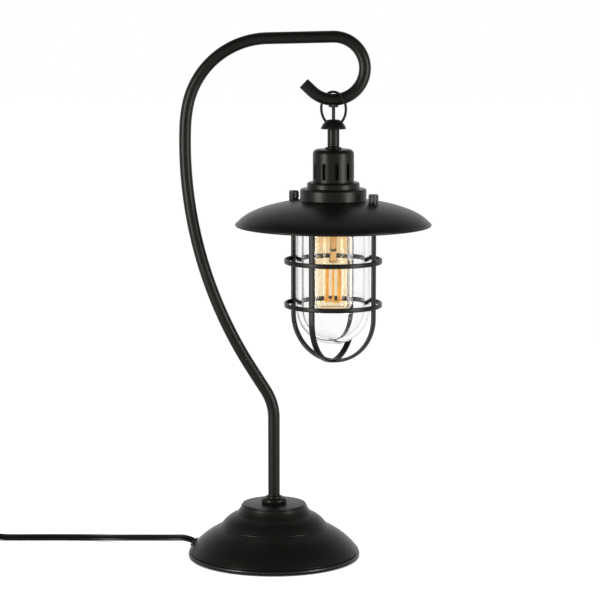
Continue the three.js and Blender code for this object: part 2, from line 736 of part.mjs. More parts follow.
/** The mushroom cap, with a curved channel for the ring and an open mouth for the cord. */
function buildCap(lantern) {
  const bore = NIPPLE_D / 2 + CLEAR;
  const seat = CAP_FOOT + CAP_LIP;
  const flank = bowed([CAP_R, CAP_FOOT + CAP_LIP], [CAP_TOP_R, CAP_TOP], CAP_BOW, 3);
  const body = turned([
    [bore, CAP_FOOT], [CAP_R, CAP_FOOT], ...flank, [MOUTH_R, CAP_TOP],
    [MOUTH_R, CAP_TOP - MOUTH_DEPTH], [THROAT_R, CAP_TOP - MOUTH_DEPTH], [THROAT_R, seat],
    [bore, seat], [bore, CAP_FOOT],
  ], 24);
  const tunnelR = RING_WIRE / 2 + CHANNEL_FIT;
  const tunnel = new THREE.TorusGeometry((RING_D - RING_WIRE) / 2, tunnelR, 8, 40).rotateX(Math.PI / 2);
  tunnel.rotateZ(radians(-RING_TURN)).translate(0, 0, RING_Z);
  add(lantern, 'hanger_cap', cut(body, tunnel), BLACK);
}

function buildStem(lantern) {
  add(lantern, 'stem_tube', washer(TUBE_R, TUBE_BORE_R, STEM_FOOT, STEM_TOP, 22), BLACK);
  const bore = NIPPLE_D / 2 + CLEAR;
  const washerFoot = STEM_WASHER_TOP - STEM_WASHER_T;
  add(lantern, 'stem_washer', washer(STEM_WASHER_R, bore, washerFoot, STEM_WASHER_TOP, 24), BLACK);
  const nippleTop = CAP_FOOT + CAP_LIP - CLEAR;
  const nippleFoot = CUP_TOP - STEM_NIPPLE_TAIL;
  add(lantern, 'stem_nipple', washer(NIPPLE_D / 2, NIPPLE_BORE / 2, nippleFoot, nippleTop, 20), ZINC);
  const nutTop = CUP_TOP - SHEET - CLEAR;
  add(lantern, 'cup_nut', hexNut(nutTop - NUT_H, nutTop, bore), ZINC);
}

/** The slotted cup over the socket. */
function buildCup(lantern) {
  const outline = [
    [CUP_R, CUP_FOOT], ...arc(CUP_R - CUP_ROUND, CUP_TOP - CUP_ROUND, CUP_ROUND, 0, 90, 3),
    [NIPPLE_D / 2 + CLEAR, CUP_TOP],
  ];
  const slot = new THREE.Shape();
  const half = SLOT_W / 2;
  slot.absarc(0, SLOT_H - half, half, 0, Math.PI);
  slot.absarc(0, half, half, Math.PI, 2 * Math.PI);
  const cutters = Array.from({ length: SLOTS }, (_, i) => {
    const options = { depth: CUP_R, bevelEnabled: false, curveSegments: 3 };
    const cutter = new THREE.ExtrudeGeometry(slot, options).rotateX(Math.PI / 2).rotateZ(Math.PI / 2);
    cutter.translate(CUP_R / 2, 0, CUP_FOOT + SLOT_FOOT);
    return cutter.rotateZ(radians(SLOT_TURN + (360 * i) / SLOTS));
  });
  add(lantern, 'socket_cup', cut(sheet(outline, SHEET, 32, [2, 3]), ...cutters), BLACK);
}

function buildSocket(lantern) {
  const bore = NIPPLE_D / 2 + CLEAR;
  const nippleSeat = CUP_TOP - STEM_NIPPLE_TAIL - CLEAR;
  add(lantern, 'socket_body', turned([
    [SOCKET_BORE_R, SOCKET_FOOT], [SOCKET_R, SOCKET_FOOT], [SOCKET_R, SHADE_TOP + CLEAR],
    [SOCKET_HEAD_R, SHADE_TOP + CLEAR], [SOCKET_HEAD_R, SOCKET_TOP - SOCKET_HEAD_BEVEL],
    [SOCKET_R - SOCKET_HEAD_BEVEL, SOCKET_TOP], [bore, SOCKET_TOP], [bore, nippleSeat],
    [WIRE_BORE_R, nippleSeat], [WIRE_BORE_R, SOCKET_ROOF], [SOCKET_BORE_R, SOCKET_ROOF],
    [SOCKET_BORE_R, SOCKET_FOOT],
  ], 24), PLASTIC);
  const shellR = SOCKET_BORE_R - CLEAR;
  const shellTop = SOCKET_ROOF - CLEAR;
  add(lantern, 'socket_shell', washer(shellR, shellR - SHELL_T, shellTop - SHELL_L, shellTop, 24), BRASS);
  add(lantern, 'socket_contact', disc(CONTACT_R, shellTop - CONTACT_T, shellTop, 16), BRASS);
  const ringTop = SHADE_TOP - SHEET - CLEAR;
  const ring = washer(SOCKET_RING_R, SOCKET_R + CLEAR, ringTop - SOCKET_RING_H, ringTop, 24);
  add(lantern, 'socket_ring', ring, PLASTIC);
}

/** The shade's outer face from under its rolled rim to the hole round the socket. */
function shadeOutline() {
  const rimR = SHADE_R - LIP_R;
  const rimZ = domeZ(rimR) - LIP_R;
  const lip = arc(rimR, rimZ, LIP_R, ...LIP_TURN, SHADE_LIP_STEPS);
  const [from, to] = [Math.asin(rimR / SHADE_SPAN), Math.asin(DOME_R / SHADE_SPAN)];
  const dome = Array.from({ length: SHADE_STEPS + 1 }, (_, i) => {
    const r = SHADE_SPAN * Math.sin(THREE.MathUtils.lerp(from, to, i / SHADE_STEPS));
    return [r, domeZ(r)];
  });
  return [
    ...lip, ...dome,
    [STEP_2_R, STEP_2_FOOT + FILLET],
    ...arc(STEP_2_R - STEP_2_ROUND, STEP_1_FOOT - STEP_2_ROUND, STEP_2_ROUND, 0, 90, 2),
    [STEP_1_R + FILLET, STEP_1_FOOT], [STEP_1_R, STEP_1_FOOT + FILLET],
    ...arc(STEP_1_R - STEP_1_ROUND, SHADE_TOP - STEP_1_ROUND, STEP_1_ROUND, 0, 90, 2),
    [SOCKET_R + CLEAR, SHADE_TOP],
  ];
}

const SHADE_INNER_DROPS = [1, 2, 5, 7, 9, 11, 15, 20]; // points that the shade's inner face does without

/** Places on the line of the two studs, in front and behind. */
const studPlaces = [0, 180].map((half) => {
  const at = radians(HOOP_TURN + half);
  return { x: STUD_AT * Math.cos(at), y: STUD_AT * Math.sin(at) };
});

function buildShade(lantern) {
  const holeR = STUD_R + STUD_FIT;
  const holes = studPlaces.map(({ x, y }) => {
    const hole = new THREE.CylinderGeometry(holeR, holeR, 4 * OVERRUN, 14).rotateX(Math.PI / 2);
    return hole.translate(x, y, domeZ(STUD_AT));
  });
  add(lantern, 'shade', cut(sheet(shadeOutline(), SHEET, 40, SHADE_INNER_DROPS), ...holes), BLACK);
}

/** A knurled thumb nut with a blind thread. */
function thumbNut() {
  const rim = Array.from({ length: 2 * KNOB_FLUTES }, (_, i) => {
    const r = KNOB_R - KNOB_BEVEL - (i % 2) * KNOB_FLUTE;
    const at = (Math.PI * i) / KNOB_FLUTES;
    return new V2(r * Math.cos(at), r * Math.sin(at));
  });
  const body = new THREE.ExtrudeGeometry(new THREE.Shape(rim), {
    depth: KNOB_H - 2 * KNOB_BEVEL, bevelSize: KNOB_BEVEL, bevelThickness: KNOB_BEVEL, bevelSegments: 1,
  });
  body.translate(0, 0, KNOB_FOOT + KNOB_BEVEL);
  const depth = STUD_GRIP + CLEAR;
  const boreR = STUD_R + CLEAR;
  const bore = disc(boreR, KNOB_FOOT - OVERRUN, KNOB_FOOT + depth, 12);
  return cut(body, bore);
}

function buildStudsAndKnobs(lantern) {
  ['front', 'back'].forEach((name, i) => {
    const { x, y } = studPlaces[i];
    const stud = disc(STUD_R, FLANGE_TOP + CLEAR, KNOB_FOOT + STUD_GRIP, 12);
    add(lantern, `stud_${name}`, stud.translate(x, y, 0), ZINC);
    add(lantern, `knob_${name}`, thumbNut().translate(x, y, 0), BLACK);
  });
}

/** One hoop of rounded strap: down one side, round under the jar and up the other side. */
function hoop() {
  const bend = arc(0, HOOP_BEND_Z, HOOP_R, 0, -180, 18);
  const outline = [[HOOP_R, HOOP_TOP], ...bend, [-HOOP_R, HOOP_TOP]];
  const places = outline.map(([x, z]) => new V3(x, 0, z));
  return swept(roundedBar(HOOP_T, HOOP_W, HOOP_CORNER), new Route(places, ACROSS, places.map((place, i) => {
    if (i === 0) return new V3(0, 0, -1);
    if (i === places.length - 1) return UP.clone();
    const at = radians(-180 * ((i - 1) / (places.length - 3)));
    return new V3(Math.sin(at), 0, -Math.cos(at));
  })));
}

/** The two hoops, halved into each other where they cross under the jar. */
function buildHoops(lantern) {
  const middle = HOOP_BEND_Z - HOOP_R;
  const notch = (side) => {
    const depth = HOOP_T;
    const box = new THREE.BoxGeometry(HOOP_W + 2 * CLEAR, HOOP_W + OVERRUN, depth);
    return box.translate(0, 0, middle + side * ((depth - CLEAR) / 2));
  };
  const across = cut(hoop(), notch(1)).rotateZ(radians(HOOP_TURN));
  add(lantern, 'hoop_side', across, BLACK);
  const along = cut(hoop(), notch(-1)).rotateZ(radians(HOOP_TURN - 90));
  add(lantern, 'hoop_front', along, BLACK);
}

function buildCageBands(lantern) {
  Object.entries(CAGE_BAND_DROPS).forEach(([name, drop]) => {
    const z = SHADE_TOP - drop;
    const band = washer(CAGE_R, CAGE_R - CAGE_BAND_T, z - CAGE_BAND_H / 2, z + CAGE_BAND_H / 2, 40);
    add(lantern, name, band, BLACK);
  });
  const bore = JAR_R + FLANGE_FIT;
  add(lantern, 'cage_flange', washer(CAGE_R, bore, FLANGE_TOP - FLANGE_T, FLANGE_TOP, 40), BLACK);
}

function buildJar(lantern) {
  const bowlZ = JAR_FOOT + JAR_R;
  const innerR = JAR_R - JAR_WALL;
  const lipFoot = JAR_LIP_TOP - JAR_LIP_T;
  const outside = arc(0, bowlZ, JAR_R, -90, 0, 7);
  const inside = arc(0, bowlZ, innerR, 0, -90, 5);
  outside[0][0] = 0;
  inside.at(-1)[0] = 0;
  add(lantern, 'glass_jar', turned([
    ...outside, [JAR_R, lipFoot], [JAR_LIP_R, lipFoot], [JAR_LIP_R, JAR_LIP_TOP],
    [innerR, JAR_LIP_TOP], ...inside,
  ], 36), GLASS);

  const inner = (r) => domeZ(r) - SHEET - 2 * CLEAR;
  const foot = JAR_LIP_TOP + CLEAR;
  add(lantern, 'jar_gasket', turned([
    [GASKET_IN, foot], [JAR_LIP_R, foot], [JAR_LIP_R, inner(JAR_LIP_R)], [GASKET_IN, inner(GASKET_IN)],
    [GASKET_IN, foot],
  ], 36), RUBBER);
}

function buildBulb(lantern) {
  const foot = SHADE_TOP - BULB_FOOT_DROP;
  const shoulder = SHADE_TOP - BULB_SHOULDER_DROP;
  const neck = SHADE_TOP - BULB_NECK_DROP;
  const neckTop = BULB_CAP_FOOT + BULB_CAP_L / 5;
  const round = arc(BULB_R - BULB_ROUND, foot + BULB_ROUND, BULB_ROUND, -90, 0, 3);
  const taper = bowed([BULB_R, shoulder], [BULB_NECK_R, neck], BULB_WALL * 2, 3);
  const outline = [[0, foot], ...round, ...taper, [BULB_NECK_R, neckTop]];
  const inside = inset(outline, BULB_WALL).reverse();
  inside.at(-1)[0] = 0;
  add(lantern, 'bulb_glass', turned([...outline, ...inside], 24), AMBER);

  const capInner = BULB_CAP_R - BULB_CAP_T;
  const roof = BULB_CAP_TOP - BULB_CAP_T;
  add(lantern, 'bulb_cap', turned([
    [capInner, BULB_CAP_FOOT], [BULB_CAP_R, BULB_CAP_FOOT], [BULB_CAP_R, BULB_CAP_TOP - TIP_R],
    [BULB_CAP_R - TIP_R, BULB_CAP_TOP], [0, BULB_CAP_TOP], [0, roof], [capInner - TIP_R, roof],
    [capInner, roof - TIP_R], [capInner, BULB_CAP_FOOT],
  ], 24), BRASS);
  const tipFoot = BULB_CAP_TOP + CLEAR;
  add(lantern, 'bulb_contact', turned([
    [0, tipFoot], [2 * TIP_R, tipFoot], [TIP_R, tipFoot + TIP_H / 2], [TIP_R / 2, tipFoot + TIP_H],
    [0, tipFoot + TIP_H],
  ], 18), ZINC);
}

/** The glass mount inside the bulb, the wire frame on it and the filament strung between its arms. */
function buildBulbInside(lantern) {
  const flareR = BULB_NECK_R - BULB_WALL - CLEAR;
  const flareTop = BULB_CAP_FOOT + BULB_CAP_L / 5;
  const foot = SHADE_TOP - STEM_FOOT_DROP;
  const press = flareTop - STEM_FLARE_L;
  add(lantern, 'bulb_stem', turned([
    [0, foot], [STEM_BUTTON_R - 2 * BULB_WALL, foot], [STEM_BUTTON_R, foot + BULB_WALL],
    [STEM_BUTTON_R, foot + 3 * BULB_WALL], [STEM_PRESS_R, foot + STEM_BUTTON_R], [STEM_PRESS_R, press],
    [flareR, flareTop], [0, flareTop],
  ], 18), GLASS);

  const top = SHADE_TOP - FILAMENT_TOP_DROP;
  const low = top - FILAMENT_L;
  const wire = FILAMENT_WIRE / 2;
  const rod = disc(FRAME_ROD_R, low, foot - CLEAR, 8);
  const reach = FILAMENT_R - wire - CLEAR;
  const arms = [low, top].flatMap((z, tier) => [0, 1].map((k) => {
    const arm = new THREE.BoxGeometry(2 * reach, FRAME_ARM_W, FRAME_ARM_H);
    const turn = (2 * Math.PI * (2 * k + tier + 0.5)) / FILAMENT_STRANDS;
    return arm.rotateZ(turn).translate(0, 0, z + (FRAME_ARM_H / 2) * (tier ? -1 : 1));
  }));
  add(lantern, 'filament_frame', join(rod, ...arms), ZINC);

  const places = [];
  for (let k = 0; k < FILAMENT_STRANDS; k++) {
    const [from, to] = k % 2 ? [low, top] : [top, low];
    const at = (2 * Math.PI * k) / FILAMENT_STRANDS;
    const near = new V3(FILAMENT_R * Math.cos(at), FILAMENT_R * Math.sin(at), 0);
    const ease = Math.sign(to - from) * FILAMENT_WIRE;
    places.push(near.clone().setZ(from + ease), near.clone().setZ(to - ease));
    if (k === FILAMENT_STRANDS - 1) break;
    const mid = at + Math.PI / FILAMENT_STRANDS;
    places.push(new V3(FILAMENT_R * Math.cos(mid), FILAMENT_R * Math.sin(mid), to));
  }
  const slant = new V3(0.31, 0.17, 0.05).normalize();
  add(lantern, 'filament', swept(polygon(wire, 5), new Route(places, slant)), GLOW);
}

function buildLead(stand) {
  const places = LEAD_ROUTE.map((p) => new V3(...p));
  const exit = exitPoint(GROMMET_FIT + GROMMET_OUT + CLEAR);
  const route = finer([exit, ...places], 2);
  add(stand, 'cord_lead', swept(twin(CORD_W, CORD_T), route), RUBBER);
  const tail = finer(TAIL_ROUTE.map((p) => new V3(...p)), 1);
  add(stand, 'cord_tail', swept(twin(CORD_W, CORD_T), tail), RUBBER);
}

/** A smooth route through chosen points, with so many steps between each two. */
function finer(points, steps) {
  const curve = new THREE.CatmullRomCurve3(points);
  const count = (points.length - 1) * steps;
  const places = Array.from({ length: count + 1 }, (_, i) => curve.getPoint(i / count));
  return new Route(places, UP);
}

/** The coil's centreline: spiral in, climb a layer at the middle, step out and spiral out again. */
function coilPlaces() {
  const pitch = CORD_T + COIL_GAP;
  const layer = CORD_W + COIL_GAP;
  const climbEnd = COIL_TURNS_DOWN + 0.5;
  const smooth = (t) => THREE.MathUtils.smoothstep(t, 0, 1);
  const count = (climbEnd + 0.5 + COIL_TURNS_UP) * COIL_STEPS;
  const [sx, sy, sz] = COIL_START;
  return Array.from({ length: count + 1 }, (_, i) => {
    const turn = i / COIL_STEPS;
    const inwards = pitch * Math.min(turn, climbEnd);
    const jump = COIL_JUMP_SHARE * pitch * smooth((turn - climbEnd) * 2);
    const outwards = pitch * Math.max(turn - climbEnd - 0.5, 0);
    const r = COIL_R - inwards + jump + outwards;
    const z = sz + layer * smooth((turn - COIL_TURNS_DOWN) * 2);
    const at = -Math.PI / 2 - 2 * Math.PI * turn;
    return new V3(sx + r * Math.cos(at), sy + COIL_R + r * Math.sin(at), z);
  });
}

/** The least gap between different loops, measured at the section's outline points. */
function leastGap(route) {
  const { tangents, normals, binormals } = route.computeFrenetFrames();
  const outline = plainTwin(CORD_W, CORD_T).getPoints();
  let least = Infinity;
  route.places.forEach((place, i) => {
    outline.forEach((p) => {
      const point = place.clone().addScaledVector(normals[i], p.x).addScaledVector(binormals[i], p.y);
      route.places.forEach((other, j) => {
        if (Math.abs(i - j) < COIL_STEPS / 2) return;
        const off = point.clone().sub(other);
        if (Math.abs(off.dot(tangents[j])) > CORD_W) return;
        const beside = Math.abs(off.dot(normals[j])) - CORD_T / 2;
        const above = Math.abs(off.dot(binormals[j])) - CORD_W / 2;
        least = Math.min(least, Math.max(beside, above));
      });
    });
  });
  return least;
}

function buildCoil(stand) {
  const turns = coilPlaces();
  const lead = new V3(...COIL_START).add(new V3(CORD_W, 0, 0));
  const end = turns.at(-1).clone().add(new V3(CORD_W, 0, 0));
  const route = new Route([lead, ...turns, end], UP);
  route.ways[0].set(-1, 0, 0);
  route.ways[route.ways.length - 1].set(1, 0, 0);
  console.log(`cord_coil: least gap to itself ${leastGap(route).toFixed(2)} mm`);
  add(stand, 'cord_coil', swept(plainTwin(CORD_W, CORD_T), route), RUBBER);
  return end;
}

function buildSwitch(stand) {
  const place = group(stand, SWITCH_X, SWITCH_Y, 0);
  const outline = waisted(SWITCH_L, SWITCH_W, SWITCH_END_W);
  const seam = SWITCH_H / 2;
  add(place, 'switch_base', softPrism(outline, 0, seam - CLEAR / 2, SWITCH_BEVEL), PLASTIC);
  const cover = softPrism(outline, seam + CLEAR / 2, SWITCH_H, SWITCH_BEVEL);
  const well = new THREE.BoxGeometry(WELL_L, WELL_W, WELL_DEPTH + OVERRUN);
  well.translate(0, 0, SWITCH_H + (OVERRUN - WELL_DEPTH) / 2);
  add(place, 'switch_cover', cut(cover, well), PLASTIC);

  const [x, y] = [ROCKER_L / 2, ROCKER_DEPTH];
  const side = new THREE.Shape([
    new V2(-x, 0), new V2(-x / 4, -y), new V2(x / 4, -y), new V2(x, 0), new V2(x, ROCKER_RISE + y / 2),
    new V2(0, y / 2), new V2(-x, ROCKER_RISE + y / 2),
  ]);
  const rocker = prism(side, -ROCKER_W / 2, ROCKER_W / 2).rotateX(Math.PI / 2);
  const pivot = group(place, 0, 0, WELL_MIDDLE_Z);
  pivot.rotation.y = radians(ROCKER_TILT);
  add(pivot, 'switch_rocker', rocker, PLASTIC);
}

/** The plug, lying with its blades along +X, and the bit of cord that comes to it from the coil. */
function buildPlug(stand, coilEnd) {
  const neckStart = coilEnd.clone().add(new V3(CLEAR + PLUG_LEAD + CLEAR, 0, 0)).setZ(PLUG_Z);
  const from = coilEnd.clone().add(new V3(CLEAR, 0, 0));
  const to = neckStart.clone().sub(new V3(CLEAR, 0, 0));
  const lead = [0, 0.25, 0.5, 0.75, 1].map((t) => {
    const drop = THREE.MathUtils.smoothstep(t, 0, 1);
    return new V3(THREE.MathUtils.lerp(from.x, to.x, t), from.y, THREE.MathUtils.lerp(from.z, to.z, drop));
  });
  const route = new Route(lead, UP);
  route.ways[0].set(1, 0, 0);
  route.ways[route.ways.length - 1].set(1, 0, 0);
  add(stand, 'cord_end', swept(twin(CORD_W, CORD_T), route), RUBBER);

  const place = group(stand, neckStart.x + PLUG_NECK_L, neckStart.y, 0);
  const outline = waisted(PLUG_L, PLUG_W, PLUG_W - 2 * PLUG_BEVEL, PLUG_END_W);
  const foot = PLUG_Z - PLUG_H / 2;
  const body = softPrism(outline, foot, foot + PLUG_H, PLUG_BEVEL).translate(PLUG_L / 2, 0, 0);
  const neckL = PLUG_NECK_L + OVERRUN;
  const neck = new THREE.CylinderGeometry(PLUG_NECK_R, PLUG_NECK_R + PLUG_BEVEL / 2, neckL, 16);
  neck.rotateZ(Math.PI / 2).translate((OVERRUN - PLUG_NECK_L) / 2, 0, PLUG_Z);
  const blades = { plug_blade_live: [-1, BLADE_LIVE_W], plug_blade_neutral: [1, BLADE_NEUTRAL_W] };
  const slots = Object.values(blades).map(([side, width]) => {
    const depth = BLADE_IN + CLEAR;
    const slot = new THREE.BoxGeometry(depth + OVERRUN, BLADE_T + 2 * CLEAR, width + 2 * CLEAR);
    return slot.translate(PLUG_L - (depth - OVERRUN) / 2, (side * BLADE_PITCH) / 2, PLUG_Z);
  });
  add(place, 'plug_body', cut(join(body, neck), ...slots), PLASTIC);
  Object.entries(blades).forEach(([name, [side, width]]) => {
    const blade = new THREE.BoxGeometry(BLADE_OUT + BLADE_IN, BLADE_T, width);
    blade.translate(PLUG_L + (BLADE_OUT - BLADE_IN) / 2, (side * BLADE_PITCH) / 2, PLUG_Z);
    add(place, name, blade, BRASS);
  });
}

const stand = group(lamp, 0, 0, 0);
buildBase(stand);
buildPost(stand);
buildCordGrommet(stand);
buildInnerLead(stand);
buildLead(stand);
buildSwitch(stand);
buildPlug(stand, buildCoil(stand));

const lantern = group(lamp, HANG.x, 0, 0);
buildRing(lantern);
buildCap(lantern);
buildStem(lantern);
buildCup(lantern);
buildSocket(lantern);
buildShade(lantern);
buildStudsAndKnobs(lantern);
buildHoops(lantern);
buildCageBands(lantern);
buildJar(lantern);
buildBulb(lantern);
buildBulbInside(lantern);

export default lamp;
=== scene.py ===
from math import asin, atan2, copysign, cos, dist, hypot, pi, radians, sin, sqrt, tan

import bpy
from mathutils import Matrix, Vector


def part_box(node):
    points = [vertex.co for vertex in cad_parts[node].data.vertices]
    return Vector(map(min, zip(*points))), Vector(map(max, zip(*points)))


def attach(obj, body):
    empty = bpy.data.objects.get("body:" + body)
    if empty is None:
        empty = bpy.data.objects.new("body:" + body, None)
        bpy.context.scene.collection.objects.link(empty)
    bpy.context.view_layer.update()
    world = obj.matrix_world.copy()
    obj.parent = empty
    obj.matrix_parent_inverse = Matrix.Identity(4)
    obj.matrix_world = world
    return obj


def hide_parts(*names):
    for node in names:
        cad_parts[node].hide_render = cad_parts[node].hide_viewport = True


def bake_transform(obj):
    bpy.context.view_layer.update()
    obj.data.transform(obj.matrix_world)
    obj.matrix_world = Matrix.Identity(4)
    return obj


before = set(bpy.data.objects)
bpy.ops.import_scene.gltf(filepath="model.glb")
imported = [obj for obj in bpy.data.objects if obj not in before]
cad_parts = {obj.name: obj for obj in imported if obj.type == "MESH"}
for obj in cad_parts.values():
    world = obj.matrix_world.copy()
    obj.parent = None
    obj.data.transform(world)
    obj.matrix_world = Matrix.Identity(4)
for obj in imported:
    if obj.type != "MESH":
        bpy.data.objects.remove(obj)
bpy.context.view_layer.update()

# The photograph's camera: two and a half metres off, a little right of the post, looking slightly down
# through a long lens. The picture's middle is on its axis, so it needs no shift.


def placed(name, data):
    """An object with this data, put into the scene."""
    made = bpy.data.objects.new(name, data)
    bpy.context.scene.collection.objects.link(made)
    return made


lens = bpy.data.cameras.new("photo_camera")
lens.sensor_width = 36
lens.lens = 140.2
camera = placed("photo_camera", lens)
camera.location = (0.0281, -2.473, 0.628)
camera.rotation_euler = (radians(90 - 8.02), 0, 0)
bpy.context.scene.camera = camera

# The flat twin cord, two insulated wires moulded side by side. It leaves the base through a bushing, rests
# on edge on the table, passes through the in-line switch and is put away in a two-layer coil of 6.5 turns,
# wound inwards below and outwards above. The route is the one of the solids: switch, coil, then plug.
MM = 0.001
CORD_W = 7.0
CORD_T = 3.6
LEAD = [
    (-83.9, 17.07, 7.5), (-86.95, 17.69, 10.0), (-89.2, 18.15, 11.9), (-94.6, 19.3, 13.6), (-101, 20.8, 14.3),
    (-112, 25, 13.2), (-130, 34, 11), (-152, 46, 8.1), (-175, 57, 5.4), (-200, 64, 4), (-230, 66, 3.7),
    (-265, 66, 3.7), (-298, 66, 3.7), (-310, 66, 5.2), (-319, 66, 7.9), (-328.8, 66, 8.6),
]
THROUGH_SWITCH = [(-345, 66, 8.6), (-365, 66, 8.6), (-385, 66, 8.6)]
TAIL = [(-401.6, 66, 8.6), (-408, 66, 8.2), (-416, 66, 6), (-426, 66, 4.1), (-438, 66, 3.6), (-450.2, 66, 3.6)]
COIL_START = (-458, 66, 3.6)
COIL_R = 42.0
COIL_GAP = 0.5
TURNS_DOWN = 3
CLIMB_TURNS = 0.5
TURNS_UP = 2.5


def smooth_step(t):
    t = min(max(t, 0.0), 1.0)
    return t * t * (3 - 2 * t)


def through(points, steps):
    """A smooth line through points, with so many steps between each two."""
    line = []
    for i in range(len(points) - 1):
        a, b = Vector(points[i]), Vector(points[i + 1])
        before = Vector(points[i - 1]) if i else a * 2 - b
        after = Vector(points[i + 2]) if i + 2 < len(points) else b * 2 - a
        for k in range(steps):
            t = k / steps
            line.append(0.5 * (2 * a + (b - before) * t + (2 * before - 5 * a + 4 * b - after) * t ** 2
                               + (3 * a - before - 3 * b + after) * t ** 3))
    line.append(Vector(points[-1]))
    return line


def coil_line(steps):
    """The coil's centreline: three turns in, a climb of one layer, then out again above."""
    pitch, layer, climb_end = CORD_T + COIL_GAP, CORD_W + COIL_GAP, TURNS_DOWN + CLIMB_TURNS
    line = []
    for i in range(int((climb_end + CLIMB_TURNS + TURNS_UP) * steps) + 1):
        turn = i / steps
        r = COIL_R - pitch * min(turn, climb_end) + 1.5 * pitch * smooth_step((turn - climb_end) / CLIMB_TURNS)
        r += pitch * max(turn - climb_end - CLIMB_TURNS, 0)
        at = -pi / 2 - 2 * pi * turn
        z = COIL_START[2] + layer * smooth_step((turn - TURNS_DOWN) / CLIMB_TURNS)
        line.append(Vector((COIL_START[0] + r * cos(at), COIL_START[1] + COIL_R + r * sin(at), z)))
    return line


def twin_section(points):
    """The cord's outline, points on each lobe: x across, y along its width."""
    wire = CORD_T / 2
    centre = CORD_W / 2 - wire
    cut = asin(centre / wire)
    outline = []
    for side in (1, -1):
        for k in range(points):
            at = -cut + (pi + 2 * cut) * k / (points - 1)
            outline.append((side * wire * cos(at), side * (centre + wire * sin(at))))
    return outline


def skin(count, rings):
    """Faces round a body of so many rings of count points each, and over its two ends."""
    faces = []
    for i in range(rings - 1):
        for k in range(count):
            a, b = i * count + k, i * count + (k + 1) % count
            faces.append((a, b, b + count, a + count))
    return faces + [tuple(reversed(range(count))), tuple(range((rings - 1) * count, rings * count))]


def sweep(line, section, hold=(0, 0, 1)):
    """Vertices and faces of a section carried along a line in millimetres, its y axis held towards hold."""
    hold = Vector(hold)
    verts = []
    for i, place in enumerate(line):
        way = (line[min(i + 1, len(line) - 1)] - line[max(i - 1, 0)]).normalized()
        across = hold.cross(way).normalized()
        up = way.cross(across)
        verts += [(place + across * x + up * y) * MM for x, y in section]
    return verts, skin(len(section), len(line))


def smoothed(mesh, crease):
    """Shades a mesh smooth except where it turns by more than crease degrees."""
    for face in mesh.polygons:
        face.use_smooth = True
    mesh.set_sharp_from_angle(angle=radians(crease))


def piece(name, verts, faces, finish, crease=35):
    """A mesh object in the row frame."""
    mesh = bpy.data.meshes.new(name)
    mesh.from_pydata([tuple(v) for v in verts], [], faces)
    mesh.materials.append(finish)
    smoothed(mesh, crease)
    return placed(name, mesh)


def settle(made, body, slot, *nodes):
    """The piece rides on a body and stands for these nodes; slot is not used."""
    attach(made, body)
    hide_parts(*nodes)
    return made


def put(tree, *kinds):
    """New nodes of these kinds in a tree."""
    return [tree.nodes.new(kind) for kind in kinds]


def preset(node, **values):
    """Values for a node's sockets, named with _ for a space."""
    for label, value in values.items():
        node.inputs[label.replace("_", " ")].default_value = value


def link(tree, *links):
    """Links, each given as a node and its output, then a node and its input."""
    for source, output, target, entry in links:
        tree.links.new(source.outputs[output], target.inputs[entry])


def new_finish(name, color, roughness, metallic=0.0, specular=0.5):
    """A material with a Principled BSDF, and that shader."""
    finish = bpy.data.materials.new(name)
    finish.use_nodes = True
    shader = finish.node_tree.nodes["Principled BSDF"]
    preset(shader, Base_Color=(*color, 1), Roughness=roughness, Metallic=metallic, Specular_IOR_Level=specular)
    return finish, shader


def surface_grain():
    """A group: fine grain and broad drift on Object coordinates, as a colour, a roughness and a normal."""
    tree = bpy.data.node_groups.new("surface_grain", "ShaderNodeTree")
    for label, kind, value in (
        ("Color", "Color", (0.5, 0.5, 0.5, 1)), ("Variation", "Float", 0.2), ("Roughness", "Float", 0.5),
        ("Roughness Spread", "Float", 0.1), ("Grain Scale", "Float", 2500.0), ("Grain Depth", "Float", 0.02),
        ("Drift Scale", "Float", 40.0), ("Stretch", "Vector", (1, 1, 1)),
    ):
        socket = tree.interface.new_socket(label, in_out="INPUT", socket_type="NodeSocket" + kind)
        socket.default_value = value
    for label, kind in (("Color", "Color"), ("Roughness", "Float"), ("Normal", "Vector")):
        tree.interface.new_socket(label, in_out="OUTPUT", socket_type="NodeSocket" + kind)
    given, out, where, shape, shade, drift, grain, span, bump = put(
        tree, "NodeGroupInput", "NodeGroupOutput", "ShaderNodeTexCoord", "ShaderNodeVectorMath",
        "ShaderNodeVectorMath", "ShaderNodeTexNoise", "ShaderNodeTexNoise", "ShaderNodeMapRange", "ShaderNodeBump")
    low, high, centred, rough = put(tree, *["ShaderNodeMath"] * 4)
    shape.operation, shade.operation, low.operation, high.operation = "MULTIPLY", "SCALE", "SUBTRACT", "ADD"
    centred.operation, rough.operation = "SUBTRACT", "MULTIPLY_ADD"
    low.inputs[0].default_value = high.inputs[0].default_value = 1.0
    centred.inputs[1].default_value = 0.5
    preset(drift, Detail=4)
    preset(grain, Detail=3)
    preset(span, From_Min=0.3, From_Max=0.7)
    preset(bump, Distance=0.0005)
    link(tree, (where, "Object", shape, 0), (given, "Stretch", shape, 1),
         (shape, 0, drift, "Vector"), (given, "Drift Scale", drift, "Scale"),
         (shape, 0, grain, "Vector"), (given, "Grain Scale", grain, "Scale"),
         (given, "Variation", low, 1), (given, "Variation", high, 1),
         (drift, "Fac", span, "Value"), (low, 0, span, "To Min"), (high, 0, span, "To Max"),
         (given, "Color", shade, 0), (span, 0, shade, "Scale"), (shade, 0, out, "Color"),
         (grain, "Fac", centred, 0), (centred, 0, rough, 0), (given, "Roughness Spread", rough, 1),
         (given, "Roughness", rough, 2), (rough, 0, out, "Roughness"),
         (grain, "Fac", bump, "Height"), (given, "Grain Depth", bump, "Strength"), (bump, 0, out, "Normal"))
    return tree


GRAIN = surface_grain()


